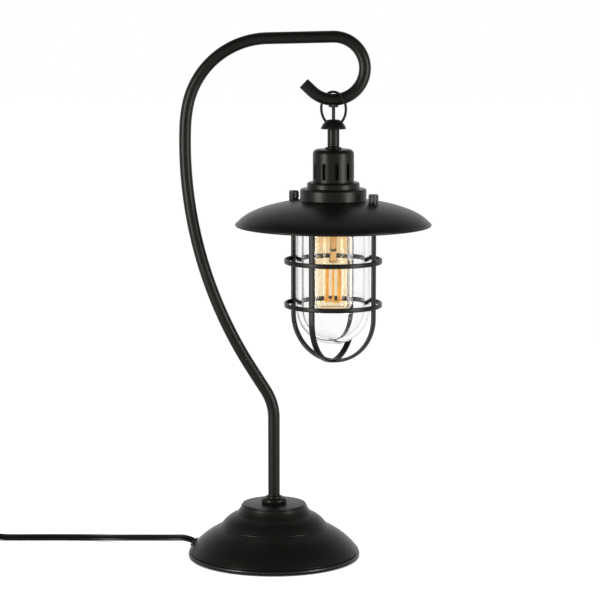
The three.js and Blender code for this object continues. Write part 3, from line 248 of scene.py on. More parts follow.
def grained(name, color, roughness, metallic=0.0, specular=0.5, **grain):
    """A finish whose colour, roughness and normal come through the grain group."""
    finish, shader = new_finish(name, color, roughness, metallic, specular)
    tree = finish.node_tree
    group = tree.nodes.new("ShaderNodeGroup")
    group.node_tree = GRAIN
    preset(group, Color=(*color, 1), Roughness=roughness,
           **{label.title(): value for label, value in grain.items()})
    link(tree, (group, "Color", shader, "Base Color"), (group, "Roughness", shader, "Roughness"),
         (group, "Normal", shader, "Normal"))
    return finish


cord_jacket = grained("cord_jacket", (0.003, 0.003, 0.003), 0.3, specular=0.14, variation=0.15,
                      roughness_spread=0.08, grain_scale=900.0, grain_depth=0.05)
coil = coil_line(32)
to_plug = [coil[-1] + Vector((x, 0, z)) for x, z in ((7.3, 0), (9.5, -0.9), (11.8, -2.5), (14, -2.5), (21, -2.5))]
route = through(LEAD + THROUGH_SWITCH + TAIL, 4) + coil + to_plug
cord_outline = twin_section(9)
cord = piece("cord", *sweep(route, cord_outline), cord_jacket)
settle(cord, "stand", "cord_jacket", "cord_lead", "cord_tail", "cord_coil", "cord_end")

# The in-line rocker switch: two moulded halves screwed together, pinched at both ends onto the cord, with
# a rocker in a well in the top half. The halves are a loft of rounded outlines, so the edges are soft.
SWITCH_X = -365.2
SWITCH_Y = 66
SWITCH_L = 72
SWITCH_W = 25
SWITCH_END_W = 13
SWITCH_H = 17.2
SEAM = 0.3
WELL = [(-11.5, -5.5), (11.5, -5.5), (11.5, 5.5), (-11.5, 5.5)]
WELL_FLOOR = 10.7


def arc(r, z, radius, start, end, steps):
    """Points of an arc about (r, z), in degrees."""
    return [(r + radius * cos(radians(start + (end - start) * k / steps)),
             z + radius * sin(radians(start + (end - start) * k / steps))) for k in range(steps + 1)]


def pinched(shrink, steps=9):
    """The switch's outline, narrowing to its ends, drawn in by shrink."""
    x, y, e = SWITCH_L / 2 - shrink, SWITCH_W / 2 - shrink, SWITCH_END_W / 2 - shrink
    quarter = []
    for k in range(steps + 1):
        at = pi / 2 * k / steps
        quarter.append((x - SWITCH_W / 2 * (1 - cos(at)), e + (y - e) * sin(at)))
    top = quarter + [(-px, py) for px, py in reversed(quarter)]
    return top + [(-px, -py) for px, py in top]


def stack(outlines, centre):
    """A closed body through level outlines of equal point counts: (points, height) from the bottom up."""
    verts = [Vector((centre[0] + x, centre[1] + y, z)) * MM for points, z in outlines for x, y in points]
    return verts, skin(len(outlines[0][0]), len(outlines))


def soft_half(foot, top, foot_round, top_round):
    """Level outlines of one half of the switch, rounded at the foot and at the top."""
    levels = arc(foot_round, foot + foot_round, foot_round, -90, -180, 4)
    levels += arc(top_round, top - top_round, top_round, 180, 90, 4)
    return [(pinched(shrink), z) for shrink, z in levels]


black_plastic = grained("black_plastic", (0.014, 0.014, 0.014), 0.32, specular=0.4, variation=0.1,
                        roughness_spread=0.2, grain_scale=1800.0, grain_depth=0.25)


def carved(made, cutter):
    """The piece less the cutter, which is then removed."""
    cut = made.modifiers.new("cut", "BOOLEAN")
    cut.operation, cut.solver, cut.object = "DIFFERENCE", "EXACT", cutter
    finished(made)
    bpy.data.objects.remove(cutter, do_unlink=True)


def finished(made, crease=35):
    """Turns what the modifiers make into the piece's own mesh."""
    bpy.context.view_layer.update()
    seen = made.evaluated_get(bpy.context.evaluated_depsgraph_get())
    mesh = bpy.data.meshes.new_from_object(seen)
    mesh.name = made.name
    made.modifiers.clear()
    made.data = mesh
    smoothed(mesh, crease)
    return made


switch_at = (SWITCH_X, SWITCH_Y)
under, over = (SWITCH_H - SEAM) / 2, (SWITCH_H + SEAM) / 2
switch_base = piece("switch_bottom", *stack(soft_half(0, under, 2.2, 0.25), switch_at), black_plastic)
settle(switch_base, "stand", "black_plastic", "switch_base")
switch_cover = piece("switch_top", *stack(soft_half(over, SWITCH_H, 0.25, 3.2), switch_at), black_plastic)
carved(switch_cover, piece("well", *stack([(WELL, WELL_FLOOR), (WELL, 21.0)], switch_at), black_plastic))
settle(switch_cover, "stand", "black_plastic", "switch_cover")

# The rocker, a curved key on a cross pin, with three grip ribs at either end.
ROCKER_TILT = 8
ROCKER_PIN_Z = 14.2
KEY_L = 20
KEY_W = 10
RIB_PITCH = 0.83
RIB_STAND = 0.35
RIBS_FROM = 5.4
tilt = Matrix.Rotation(radians(ROCKER_TILT), 4, "Y")
side = []
for k in range(25):
    x = KEY_L / 2 - KEY_L * k / 24
    ribbed = abs(x) > RIBS_FROM and int(abs(x) / RIB_PITCH) % 2
    side.append((x, 1.5 + 2.4 * (x / (KEY_L / 2)) ** 2 + (RIB_STAND if ribbed else 0)))
side += [(-KEY_L / 2, 0), (-2.5, -3), (2.5, -3), (KEY_L / 2, 0)]
rocker_verts = [(tilt @ Vector((x, y, z)) + Vector((SWITCH_X, SWITCH_Y, ROCKER_PIN_Z))) * MM
                for y in (-KEY_W / 2, KEY_W / 2) for x, z in side]
rocker_key = piece("rocker_key", rocker_verts, [face[::-1] for face in skin(len(side), 2)], black_plastic, 25)
settle(rocker_key, "rocker", "black_plastic", "switch_rocker")

# The moulded plug: a grip with finger ribs, a tapered neck over the cord, and two folded brass blades, the
# neutral one wider, each with a hole near its tip.
plug_low, plug_high = (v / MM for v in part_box("plug_body"))
PLUG_Z = (plug_low.z + plug_high.z) / 2
PLUG_Y = (plug_low.y + plug_high.y) / 2
PLUG_END = plug_high.x


def oval(width, height, corner, points=8):
    """A rounded rectangle, y across and z up."""
    corner = min(corner, width / 2, height / 2)
    outline = []
    for quadrant, (sy, sz) in enumerate(((1, 1), (-1, 1), (-1, -1), (1, -1))):
        for k in range(points + 1):
            at = pi / 2 * (quadrant + k / points)
            outline.append((sy * (width / 2 - corner) + corner * cos(at),
                            sz * (height / 2 - corner) + corner * sin(at)))
    return outline


# distance from the plug's face, width, height and corner of each section
PLUG_SECTIONS = [
    (0, 22.5, 13.5, 3), (0.8, 24.4, 15.4, 4), (2.5, 25, 16, 4.6), (8, 25, 16, 5), (14, 24, 15.4, 6), (20, 20, 14, 6.5),
    (25, 15.5, 12.6, 6), (29, 12, 11, 5.4), (30.2, 10.8, 10.4, 5.2), (31, 9.8, 9.8, 4.9), (34, 9.4, 9.4, 4.7),
    (34.1, 8.6, 8.8, 4.3), (35.4, 8.6, 8.8, 4.3), (35.5, 9.2, 9.2, 4.6), (38, 8.8, 9, 4.4), (38.1, 8, 8.6, 4),
    (39.4, 8, 8.6, 4), (39.5, 8.4, 8.8, 4.2), (43, 7, 8.2, 3.5), (46, 5.4, 7.6, 2.7),
]
plug_verts = [Vector((PLUG_END - back, PLUG_Y + y, PLUG_Z + z)) * MM
              for back, *section in reversed(PLUG_SECTIONS) for y, z in oval(*section)]
plug_faces = skin(len(plug_verts) // len(PLUG_SECTIONS), len(PLUG_SECTIONS))
plug_grip = piece("plug_grip", plug_verts, plug_faces, black_plastic, 30)
settle(plug_grip, "stand", "black_plastic", "plug_body")

brass = grained("brass", (0.62, 0.43, 0.17), 0.3, metallic=1.0, variation=0.12, roughness_spread=0.25,
                grain_scale=1500.0, grain_depth=0.15, stretch=(0.15, 1, 1))
BLADE_CORNER_L, BLADE_CORNER_W = 2.4, 1.6
BLADE_HOLE_R, BLADE_HOLE_BACK = 1.55, 3.6
BLADE_EDGE = 0.0002
for node in ("plug_blade_live", "plug_blade_neutral"):
    low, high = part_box(node)
    middle, half, tip = (low + high) / 2, (high.z - low.z) / 2 / MM, high.x / MM
    outline = [(PLUG_END - 3, -half), (tip - BLADE_CORNER_L, -half), (tip, BLADE_CORNER_W - half),
               (tip, half - BLADE_CORNER_W), (tip - BLADE_CORNER_L, half), (PLUG_END - 3, half)]
    hole = arc(tip - BLADE_HOLE_BACK, 0, BLADE_HOLE_R, 0, 342, 19)
    flat = bpy.data.curves.new(node, "CURVE")
    flat.dimensions, flat.fill_mode = "2D", "BOTH"
    flat.extrude = (high.y - low.y) / 2 - BLADE_EDGE
    flat.bevel_depth, flat.bevel_resolution = BLADE_EDGE, 1
    for loop in (outline, hole):
        spline = flat.splines.new("POLY")
        spline.points.add(len(loop) - 1)
        spline.use_cyclic_u = True
        for point, (x, z) in zip(spline.points, loop):
            point.co = (x * MM, z * MM, 0, 1)
    shape = placed(node + "_flat", flat)
    bpy.context.view_layer.update()
    mesh = bpy.data.meshes.new_from_object(shape.evaluated_get(bpy.context.evaluated_depsgraph_get()))
    bpy.data.objects.remove(shape, do_unlink=True)
    mesh.transform(Matrix.Translation((0, middle.y, middle.z)) @ Matrix.Rotation(pi / 2, 4, "X"))
    mesh.materials.clear()
    mesh.materials.append(brass)
    settle(placed(node.replace("plug_", "") + "_strip", mesh), "stand", "brass", node)

# The studio: a white floor that runs into a white surround under a dim ceiling, with a soft lamp on either
# side and one above. The floor's glow is dimmed close to what stands on it, a painted contact shadow, and over a
# wider strip in a mirrored view, a painted shade in reflections.
FLOOR_LEVEL = 0.86


def shown_level(tree, unseen, seen):
    """A level for rays that show the surround, straight, mirrored or through glass, and one for the rest."""
    paths, mirrored, refracted, level = put(
        tree, "ShaderNodeLightPath", "ShaderNodeMath", "ShaderNodeMath", "ShaderNodeMapRange")
    mirrored.operation = refracted.operation = "MAXIMUM"
    preset(level, To_Min=unseen, To_Max=seen)
    link(tree, (paths, "Is Camera Ray", mirrored, 0), (paths, "Is Glossy Ray", mirrored, 1),
         (mirrored, 0, refracted, 0), (paths, "Is Transmission Ray", refracted, 1), (refracted, 0, level, "Value"))
    return level


floor_finish, floor_shader = new_finish("studio_white", (0.3, 0.3, 0.3), 0.9, specular=0.1)
floor_tree = floor_finish.node_tree
# ambient occlusion dims the floor's glow: a painted contact shadow, wider for mirrored rays
near, paths, reach_low, reach_high, contact, glowing, mixed = put(
    floor_tree, "ShaderNodeAmbientOcclusion", "ShaderNodeLightPath", "ShaderNodeMapRange", "ShaderNodeMapRange",
    "ShaderNodeMapRange", "ShaderNodeEmission", "ShaderNodeAddShader")
preset(near, Distance=0.03)
preset(reach_low, To_Min=0.3, To_Max=0.8)
preset(reach_high, To_Min=0.62, To_Max=0.98)
preset(contact, To_Max=FLOOR_LEVEL)
floor_level = shown_level(floor_tree, 0.0, FLOOR_LEVEL)
link(floor_tree, (paths, "Is Glossy Ray", reach_low, "Value"), (paths, "Is Glossy Ray", reach_high, "Value"),
     (reach_low, 0, contact, "From Min"), (reach_high, 0, contact, "From Max"), (near, "AO", contact, "Value"),
     (contact, 0, floor_level, "To Max"), (floor_level, 0, glowing, "Strength"), (glowing, 0, mixed, 0),
     (floor_shader, 0, mixed, 1), (mixed, 0, floor_tree.nodes["Material Output"], "Surface"))
floor = piece("floor", [(-9, -9, 0), (9, -9, 0), (9, 9, 0), (-9, 9, 0)], [(0, 1, 2, 3)], floor_finish)

world = bpy.data.worlds.new("surround")
bpy.context.scene.world = world
world.use_nodes = True
sky = world.node_tree
background = sky.nodes["Background"]
way, height, ceiling = put(sky, "ShaderNodeTexCoord", "ShaderNodeSeparateXYZ", "ShaderNodeMapRange")
preset(background, Color=(1, 1, 1, 1))
preset(ceiling, From_Min=0.12, From_Max=0.88, To_Min=1.0, To_Max=0.12)
surround = shown_level(sky, 0.45, 1.0)
link(sky, (way, "Generated", height, 0), (height, "Z", ceiling, "Value"), (ceiling, 0, surround, "To Max"),
     (surround, 0, background, "Strength"))

LAMPS_AIM = Vector((0.02, 0, 0.3))
for name, power, size, place in (
    ("lamp_left", 15, (0.35, 0.8), (-0.85, -0.68, 0.4)),
    ("lamp_right", 13, (0.35, 0.8), (0.93, -0.62, 0.4)),
    ("lamp_top", 3, (1.6, 1.2), (0.1, 0.8, 2.2)),
):
    area = bpy.data.lights.new(name, "AREA")
    area.shape, area.energy = "RECTANGLE", power
    area.size, area.size_y = size
    lamp = placed(name, area)
    lamp.location = place
    lamp.rotation_euler = (LAMPS_AIM - Vector(place)).to_track_quat("-Z", "Y").to_euler()
bpy.context.scene.view_settings.view_transform = "Standard"

# The base: a spun steel cover in three tiers with a rolled bead at the rim, powder coated in satin black.
# The spinner's tool leaves a groove over the bead and a fine raised line at each tier.
BASE_R = 92.5
BASE_H = 58.1
SHEET = 1.2


def bowed(a, b, bow, steps):
    """Points from a to b, standing off the chord by bow on the right of the way along it."""
    dr, dz = b[0] - a[0], b[1] - a[1]
    length = hypot(dr, dz)
    points = []
    for k in range(steps + 1):
        t = k / steps
        off = 4 * bow * t * (1 - t) / length
        points.append((a[0] + dr * t + dz * off, a[1] + dz * t - dr * off))
    return points


def softened(points, radius, steps=3):
    """The outline with its inner corners rounded where they turn by more than 12 degrees."""
    out = [points[0]]
    for before, here, after in zip(points, points[1:], points[2:]):
        a, p, b = Vector(before), Vector(here), Vector(after)
        u, v = a - p, b - p
        if u.length < 1e-6 or v.length < 1e-6:
            continue
        turn = pi - u.angle(v)
        if turn < radians(12):
            out.append(here)
            continue
        reach = min(radius * tan(turn / 2), 0.45 * u.length, 0.45 * v.length)
        start, end = p + u.normalized() * reach, p + v.normalized() * reach
        out += [tuple((1 - t) ** 2 * start + 2 * t * (1 - t) * p + t * t * end) for t in
                (k / steps for k in range(steps + 1))]
    return out + [points[-1]]


def inset(outline, by):
    """The outline moved to its left, with mitred corners."""
    points = [Vector(p) for p in outline]
    sides = [(b - a).normalized() for a, b in zip(points, points[1:])]
    moved = []
    for i, p in enumerate(points):
        before, after = sides[max(i - 1, 0)], sides[min(i, len(sides) - 1)]
        way = (before + after).normalized()
        left = Vector((-way.y, way.x)) * (by / max(way.dot(before), 0.5))
        moved.append(tuple(p + left))
    return moved


def spun(outline, axis=(0, 0), segments=128):
    """A closed outline of radius and height turned round an upright axis; points on the axis are shared."""
    verts, faces, rings = [], [], []
    for r, z in outline:
        if r < 1e-6:
            rings.append([len(verts)] * segments)
            verts.append(Vector((axis[0], axis[1], z)) * MM)
            continue
        rings.append(list(range(len(verts), len(verts) + segments)))
        for k in range(segments):
            at = 2 * pi * k / segments
            verts.append(Vector((axis[0] + r * cos(at), axis[1] + r * sin(at), z)) * MM)
    loops = list(zip(rings, rings[1:]))
    if outline[0][0] > 1e-6:
        loops.append((rings[-1], rings[0]))
    for lower, upper in loops:
        for k in range(segments):
            n = (k + 1) % segments
            corners = []
            for v in (lower[k], lower[n], upper[n], upper[k]):
                if v not in corners:
                    corners.append(v)
            if len(corners) > 2:
                faces.append(tuple(corners))
    return verts, faces


def spun_sheet(outline, wall, axis=(0, 0), segments=128, least=2.0):
    """A sheet with this outer face; the inner face leaves out points closer together than least."""
    kept = [outline[0]]
    for point in outline[1:-1]:
        if dist(point, kept[-1]) >= least:
            kept.append(point)
    return spun(list(outline) + list(reversed(inset(kept + [outline[-1]], wall))), axis, segments)


def lathed(name, outline, axis, segments, finish, *home):
    """A piece spun round an upright axis and settled: its home is a body, a slot and the nodes it stands for."""
    return settle(piece(name, *spun(outline, axis, segments), finish), *home)


powder_coat = grained("powder_coat", (0.0030, 0.0032, 0.0026), 0.32, specular=0.14, variation=0.12,
                      roughness_spread=0.1, grain_scale=1400.0, grain_depth=0.2)
coat_tree = powder_coat.node_tree
coat_shader = coat_tree.nodes["Principled BSDF"]
where, height, rubbed = put(coat_tree, "ShaderNodeTexCoord", "ShaderNodeSeparateXYZ", "ShaderNodeMapRange")
preset(rubbed, From_Min=0.0040, From_Max=0.0056, To_Min=0.3, To_Max=0.0)
preset(coat_shader, Coat_Roughness=0.2, Specular_Tint=(1, 1, 0.9, 1))
link(coat_tree, (where, "Object", height, 0), (height, "Z", rubbed, "Value"),
     (rubbed, 0, coat_shader, "Coat Weight"))
base_outline = arc(BASE_R - 2.4, 3.2, 2.4, -90, 80, 14) + [(90.0, 5.75), (89.9, 6.1), (90.1, 6.3), (91.2, 6.45)]
base_outline += softened(
    bowed((BASE_R - 1.0, 6.6), (58.4, 32.6), 2.7, 22)
    + [(58.0, 33.1)] + arc(57.2, 33.9, 0.7, -40, 80, 4)
    + bowed((56.6, 35.2), (40.9, 47.2), 1.6, 12) + [(39.2, 49.2), (37.2, 51.8), (35.6, 54.6)]
    + arc(34.9, 55.5, 0.65, -20, 70, 3) + [(34.5, 56.6)] + arc(33.3, 57.2, 0.9, 10, 90, 4) + [(5.2, BASE_H)], 0.6)
base_cover = piece("base_cover", *spun_sheet(base_outline, SHEET), powder_coat, 50)
settle(base_cover, "stand", "black_coat", "base_shell")

# Under the cover: a felt pad glued to a zinc plated plate, and a cast weight held by a nut on a nipple.
felt = grained("felt", (0.012, 0.012, 0.013), 0.95, specular=0.1, variation=0.35, roughness_spread=0.1,
               grain_scale=700.0, grain_depth=1.0)
zinc = grained("zinc_plate", (0.56, 0.57, 0.58), 0.34, metallic=1.0, variation=0.12, roughness_spread=0.3,
               grain_scale=1100.0, grain_depth=0.12, drift_scale=90.0)
cast_iron = grained("cast_iron", (0.07, 0.068, 0.066), 0.75, metallic=0.6, specular=0.3, variation=0.3,
                    roughness_spread=0.3, grain_scale=450.0, grain_depth=0.9)
rubber = grained("rubber", (0.012, 0.012, 0.012), 0.6, specular=0.3, variation=0.15, roughness_spread=0.2,
                 grain_scale=1200.0, grain_depth=0.3)


def refinish(finish, *nodes):
    """Gives solids that stay a better material."""
    for node in nodes:
        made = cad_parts[node]
        made.data.materials.clear()
        made.data.materials.append(finish)


felt_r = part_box("felt_pad")[1].x / MM
felt_outline = [(0, 0.02), (felt_r - 0.5, 0.02), (felt_r, 0.4), (felt_r, 1.2), (felt_r - 0.5, 1.6), (0, 1.6)]
lathed("felt_disc", felt_outline, (0, 0), 96, felt, "stand", "felt", "felt_pad")
refinish(zinc, "base_plate", "weight_washer", "weight_nut", "base_nipple")
refinish(cast_iron, "base_weight")
refinish(cord_jacket, "inner_lead")

# The collar at the post's foot, a turned steel bead with a short neck, slipped over the tube and coated
# with it.
COLLAR_R = 13.8
COLLAR_H = 8.0
POST_FOOT = 58.4
TUBE_R = 6.35
TUBE_WALL = 1.2
neck = COLLAR_H / 4
bead = (COLLAR_H - neck) / 2
collar_outline = [(TUBE_R, POST_FOOT - 0.25), (COLLAR_R - 0.7, POST_FOOT - 0.25), (COLLAR_R - 0.2, POST_FOOT + 0.8)]
collar_outline += arc(COLLAR_R - bead, POST_FOOT + bead, bead, -20, 90, 12)
collar_outline += [(TUBE_R + 2.1, POST_FOOT + COLLAR_H - neck)]
collar_outline += arc(TUBE_R + 1.0, POST_FOOT + COLLAR_H - 1, 1, 0, 90, 5) + [(TUBE_R, POST_FOOT + COLLAR_H)]
lathed("collar", collar_outline, (0, 0), 64, powder_coat, "stand", "black_coat", "post_collar")

# The post: one length of 12.7 mm steel tube, cold bent in a single plane, with a square-cut open end. The
# cord runs inside it and comes out of a hole at the hook's lowest point.
BENDS = [(0, 93.1), (56, 32.3, 14), (0, 28.7), (450, -34.6, 40), (144, -9.4, 8), (88, -77, 40), (0, 69),
         (33.1, -224.7, 84), (0, 12)]


def bent(start, bends):
    """The line of a tube bent in the XZ plane: straight runs (0, length), or arcs (radius, turn, steps)."""
    place, heading = Vector(start), 90.0
    line = [place.copy()]
    for leg in bends:
        if leg[0] == 0:
            way = Vector((cos(radians(heading)), 0, sin(radians(heading))))
            steps = max(int(leg[1] / 12), 1)
            line += [place + way * (leg[1] * k / steps) for k in range(1, steps + 1)]
            place = line[-1].copy()
            continue
        radius, turn, steps = leg
        side = copysign(radius, turn)
        at = radians(heading)
        centre = place + Vector((-sin(at) * side, 0, cos(at) * side))
        for k in range(1, steps + 1):
            now = radians(heading + turn * k / steps)
            line.append(centre + Vector((sin(now) * side, 0, -cos(now) * side)))
        place = line[-1].copy()
        heading += turn
    return line


def new_tree(name, **sockets):
    """A geometry tree with named inputs; gives the tree, its input node and its output node."""
    tree = bpy.data.node_groups.new(name, "GeometryNodeTree")
    tree.interface.new_socket("Geometry", in_out="INPUT", socket_type="NodeSocketGeometry")
    for label, kind in sockets.items():
        tree.interface.new_socket(label.replace("_", " "), in_out="INPUT", socket_type="NodeSocket" + kind)
    tree.interface.new_socket("Geometry", in_out="OUTPUT", socket_type="NodeSocketGeometry")
    return tree, tree.nodes.new("NodeGroupInput"), tree.nodes.new("NodeGroupOutput")


def end_tree(tree, shape, given, out):
    """Realises what the tree made, gives it its material and returns the tree."""
    real, coat = put(tree, "GeometryNodeRealizeInstances", "GeometryNodeSetMaterial")
    link(tree, (shape, 0, real, 0), (real, 0, coat, "Geometry"), (given, "Material", coat, "Material"),
         (coat, 0, out, 0))
    return tree


def round_bar_tree():
    """A round bar or tube along the line that it is given."""
    tree, given, out = new_tree("round_bar", Radius="Float", Sides="Int", Closed_Ends="Bool", Material="Material")
    line, circle, rod = put(
        tree, "GeometryNodeMeshToCurve", "GeometryNodeCurvePrimitiveCircle", "GeometryNodeCurveToMesh")
    link(tree, (given, "Geometry", line, "Mesh"), (given, "Sides", circle, "Resolution"),
         (given, "Radius", circle, "Radius"), (line, 0, rod, "Curve"), (circle, 0, rod, "Profile Curve"),
         (given, "Closed Ends", rod, "Fill Caps"))
    return end_tree(tree, rod, given, out)


def grown(made, tree, finish, crease=35, **values):
    """What a geometry tree makes of an object, as a plain mesh."""
    nodes = made.modifiers.new("grown", "NODES")
    nodes.node_group = tree
    values["Material"] = finish
    for socket in tree.interface.items_tree:
        if socket.in_out == "INPUT" and socket.name.replace(" ", "_") in values:
            nodes[socket.identifier] = values[socket.name.replace(" ", "_")]
    return finished(made, crease)


def line_of(name, points, closed=False):
    """A line of joined points in millimetres, for a tree to work on."""
    mesh = bpy.data.meshes.new(name)
    count = len(points)
    edges = [(i, i + 1) for i in range(count - 1)] + ([(count - 1, 0)] if closed else [])
    mesh.from_pydata([Vector(p) * MM for p in points], edges, [])
    return placed(name, mesh)


ROUND_BAR = round_bar_tree()


def bar(name, line, radius, sides, finish, closed=False, capped=True):
    """A round bar or tube along a line."""
    return grown(line_of(name, line, closed), ROUND_BAR, finish, Radius=radius * MM, Sides=sides, Closed_Ends=capped)


def drilled(made, place, radius, low, high, segments):
    """The piece with an upright round hole."""
    drill = piece("drill", *spun([(0, low), (radius, low), (radius, high), (0, high)], place, segments), powder_coat)
    carved(made, drill)


HANG_X = 63.5
HANG_Z = 493.15
HOOK_HOLE_R = 4.3
on_axis = (HANG_X, 0)
post = bar("post", bent((0, 0, POST_FOOT), BENDS), TUBE_R, 48, powder_coat, capped=False)
wall = post.modifiers.new("wall", "SOLIDIFY")
wall.thickness, wall.offset = TUBE_WALL * MM, -1
finished(post)
drilled(post, on_axis, HOOK_HOLE_R, HANG_Z - 10, HANG_Z, 32)
settle(post, "stand", "black_coat", "post_tube")

# Bushings of black rubber: one in the hole under the hook and one in the base where the cord comes out.
FACE_Z = HANG_Z - TUBE_R
bushing_outline = [(3.1, FACE_Z - 1.5), (4.8, FACE_Z - 1.5)] + arc(4.8, FACE_Z - 1.0, 0.5, -90, 0, 4)
bushing_outline += [(5.3, FACE_Z - 0.2), (5.0, FACE_Z), (4.1, FACE_Z), (4.1, FACE_Z + 1.4), (3.1, FACE_Z + 1.4)]
lathed("hook_bushing", bushing_outline, on_axis, 40, rubber, "stand", "rubber", "hook_grommet")

EXIT_TURN = 168.5
EXIT_FACE = Vector((88.737, 0, 10))
EXIT_WAY = Vector((0.7707, 0, 0.6372))
exit_place = Matrix.Rotation(radians(EXIT_TURN), 4, "Z") @ Matrix.Translation(EXIT_FACE * MM)
exit_place = exit_place @ Matrix.Rotation(atan2(EXIT_WAY.x, EXIT_WAY.z), 4, "Y")
exit_outline = [(3.2, -2.6), (4.2, -2.6), (4.7, -1.9), (4.4, -1.3), (4.4, 0.1), (5.7, 0.1)]
exit_outline += arc(5.6, 0.4, 0.3, -45, 0, 3) + arc(5.5, 1.1, 0.4, 0, 80, 4) + [(4.0, 1.8), (3.7, 2.0), (3.2, 2.0)]
exit_verts, exit_faces = spun(exit_outline, segments=40)
exit_bushing = piece("exit_bushing", [exit_place @ v for v in exit_verts], exit_faces, rubber)
settle(exit_bushing, "stand", "rubber", "cord_grommet")

# The steel wire ring, looped over the hook and through the channel in the lantern's cap, and the cord that
# drops between them into the cap, squeezed a little where it comes out of the bushing.
RING_D = 38.4
RING_WIRE = 2.8
RING_Z = 483.7
RING_TURN = -44
mid = (RING_D - RING_WIRE) / 2
turned = Matrix.Rotation(radians(RING_TURN), 3, "Z")
ring_line = [Vector((HANG_X, 0, RING_Z)) + turned @ Vector((mid * cos(a), 0, mid * sin(a)))
             for a in (2 * pi * k / 96 for k in range(96))]
ring = bar("wire_ring", ring_line, RING_WIRE / 2, 24, powder_coat, closed=True, capped=False)
settle(ring, "ring", "black_coat", "hang_ring")

DROP_TOP = 487.6
DROP_L = 18.4
SQUEEZE = 0.14
SQUEEZE_FROM, SQUEEZE_OVER = 482.0, 3.5
drop_line = [Vector((HANG_X, 0, DROP_TOP - DROP_L * k / 23)) for k in range(24)]
drop_verts, drop_faces = sweep(drop_line, cord_outline, hold=(0, 1, 0))
for v in drop_verts:
    v.y *= 1 - SQUEEZE * smooth_step((v.z / MM - SQUEEZE_FROM) / SQUEEZE_OVER)
cord_in_ring = piece("cord_in_ring", drop_verts, drop_faces, cord_jacket)
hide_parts("cord_drop")
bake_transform(cord_in_ring)

# The mushroom cap, turned from steel, with a curved channel for the ring and an open mouth for the cord.
CAP_FOOT = 462.35
CAP_TOP = 472.05
BORE_R = 5.15
cap_outline = [(BORE_R, CAP_FOOT), (13.0, CAP_FOOT)] + arc(13.0, CAP_FOOT + 0.4, 0.4, -90, 0, 3)
cap_outline += arc(12.9, CAP_FOOT + 0.9, 0.5, 0, 40, 3)
cap_outline += bowed((13.2, CAP_FOOT + 1.35), (6.9, CAP_TOP - 0.35), 0.75, 12)
cap_outline += arc(6.2, CAP_TOP - 0.4, 0.4, 40, 90, 3) + [(5.8, CAP_TOP)] + arc(5.8, CAP_TOP - 0.4, 0.4, 90, 180, 3)
cap_outline += [(5.4, CAP_TOP - 3.4), (4.2, CAP_TOP - 3.4), (4.2, CAP_FOOT + 1.2), (BORE_R, CAP_FOOT + 1.2)]
cap = piece("cap", *spun(cap_outline, on_axis, 96), powder_coat)
carved(cap, bar("channel", ring_line, RING_WIRE / 2 + 0.45, 24, powder_coat, closed=True, capped=False))
settle(cap, "lantern", "black_coat", "hanger_cap")

# The stem: a short length of the same tube between cap and cup, with a washer under it. A threaded nipple
# inside draws cap, stem, washer and cup together with a nut.
STEM_FOOT = 443.05
STEM_TOP = 462.3
CUP_TOP = 441.05
stem_outline = [(BORE_R, STEM_FOOT), (6.0, STEM_FOOT)] + arc(6.0, STEM_FOOT + 0.35, 0.35, -90, 0, 3)
stem_outline += arc(6.0, STEM_TOP - 0.35, 0.35, 0, 90, 3) + [(BORE_R, STEM_TOP)]
lathed("stem", stem_outline, on_axis, 64, powder_coat, "lantern", "black_coat", "stem_tube")
washer_outline = [(BORE_R, CUP_TOP + 0.1), (8.2, CUP_TOP + 0.1)] + arc(8.2, 441.65, 0.5, -90, 0, 4)
washer_outline += arc(8.2, 442.5, 0.5, 0, 90, 4) + [(BORE_R, 443.0)]
lathed("washer", washer_outline, on_axis, 64, powder_coat, "lantern", "black_coat", "stem_washer")
refinish(zinc, "stem_nipple", "cup_nut")

# The cup over the lampholder, deep drawn from sheet, with ten upright slots punched through its side to let
# the heat out.
CUP_R = 21.9
CUP_FOOT = 406.35
CUP_ROUND = 5.3
SLOT_W = 4.0
SLOT_H = 18.0
SLOT_FOOT = 2.8


def ring_of_tree():
    """Copies of what it is given, turned evenly round an upright axis."""
    tree, given, out = new_tree("ring_of", Count="Int", Start="Float", Axis="Vector", Material="Material")
    points, number, share, angle, turn, copies = put(
        tree, "GeometryNodePoints", "GeometryNodeInputIndex", "ShaderNodeMath", "ShaderNodeMath",
        "ShaderNodeCombineXYZ", "GeometryNodeInstanceOnPoints")
    share.operation, angle.operation = "DIVIDE", "MULTIPLY_ADD"
    share.inputs[0].default_value = 2 * pi
    link(tree, (given, "Count", points, "Count"), (given, "Axis", points, "Position"), (given, "Count", share, 1),
         (number, 0, angle, 0), (share, 0, angle, 1), (given, "Start", angle, 2), (angle, 0, turn, "Z"),
         (points, 0, copies, "Points"), (given, "Geometry", copies, "Instance"), (turn, 0, copies, "Rotation"))
    return end_tree(tree, copies, given, out)


RING_OF = ring_of_tree()


def repeated(made, count, start, axis):
    """Copies of a piece turned evenly round an upright axis, the first at the angle start."""
    return grown(made, RING_OF, made.data.materials[0], Count=count, Start=start,
                 Axis=(axis[0] * MM, axis[1] * MM, 0))


cup_outline = [(CUP_R, CUP_FOOT - 0.1)] + arc(CUP_R - CUP_ROUND, CUP_TOP - CUP_ROUND, CUP_ROUND, 0, 90, 14)
cup_outline += [(BORE_R, CUP_TOP)]
cup = piece("cup", *spun_sheet(cup_outline, SHEET, on_axis, 128), powder_coat)
slot = arc(0, SLOT_H - SLOT_W / 2, SLOT_W / 2, 0, 180, 12) + arc(0, SLOT_W / 2, SLOT_W / 2, 180, 360, 12)
slot_verts = [(x * MM, y * MM, (z + CUP_FOOT + SLOT_FOOT) * MM) for x in (CUP_R - 4, CUP_R + 3) for y, z in slot]
punches = piece("slots", slot_verts, skin(len(slot), 2), powder_coat)
carved(cup, repeated(punches, 10, radians(-81.5), on_axis))
settle(cup, "lantern", "black_coat", "socket_cup")

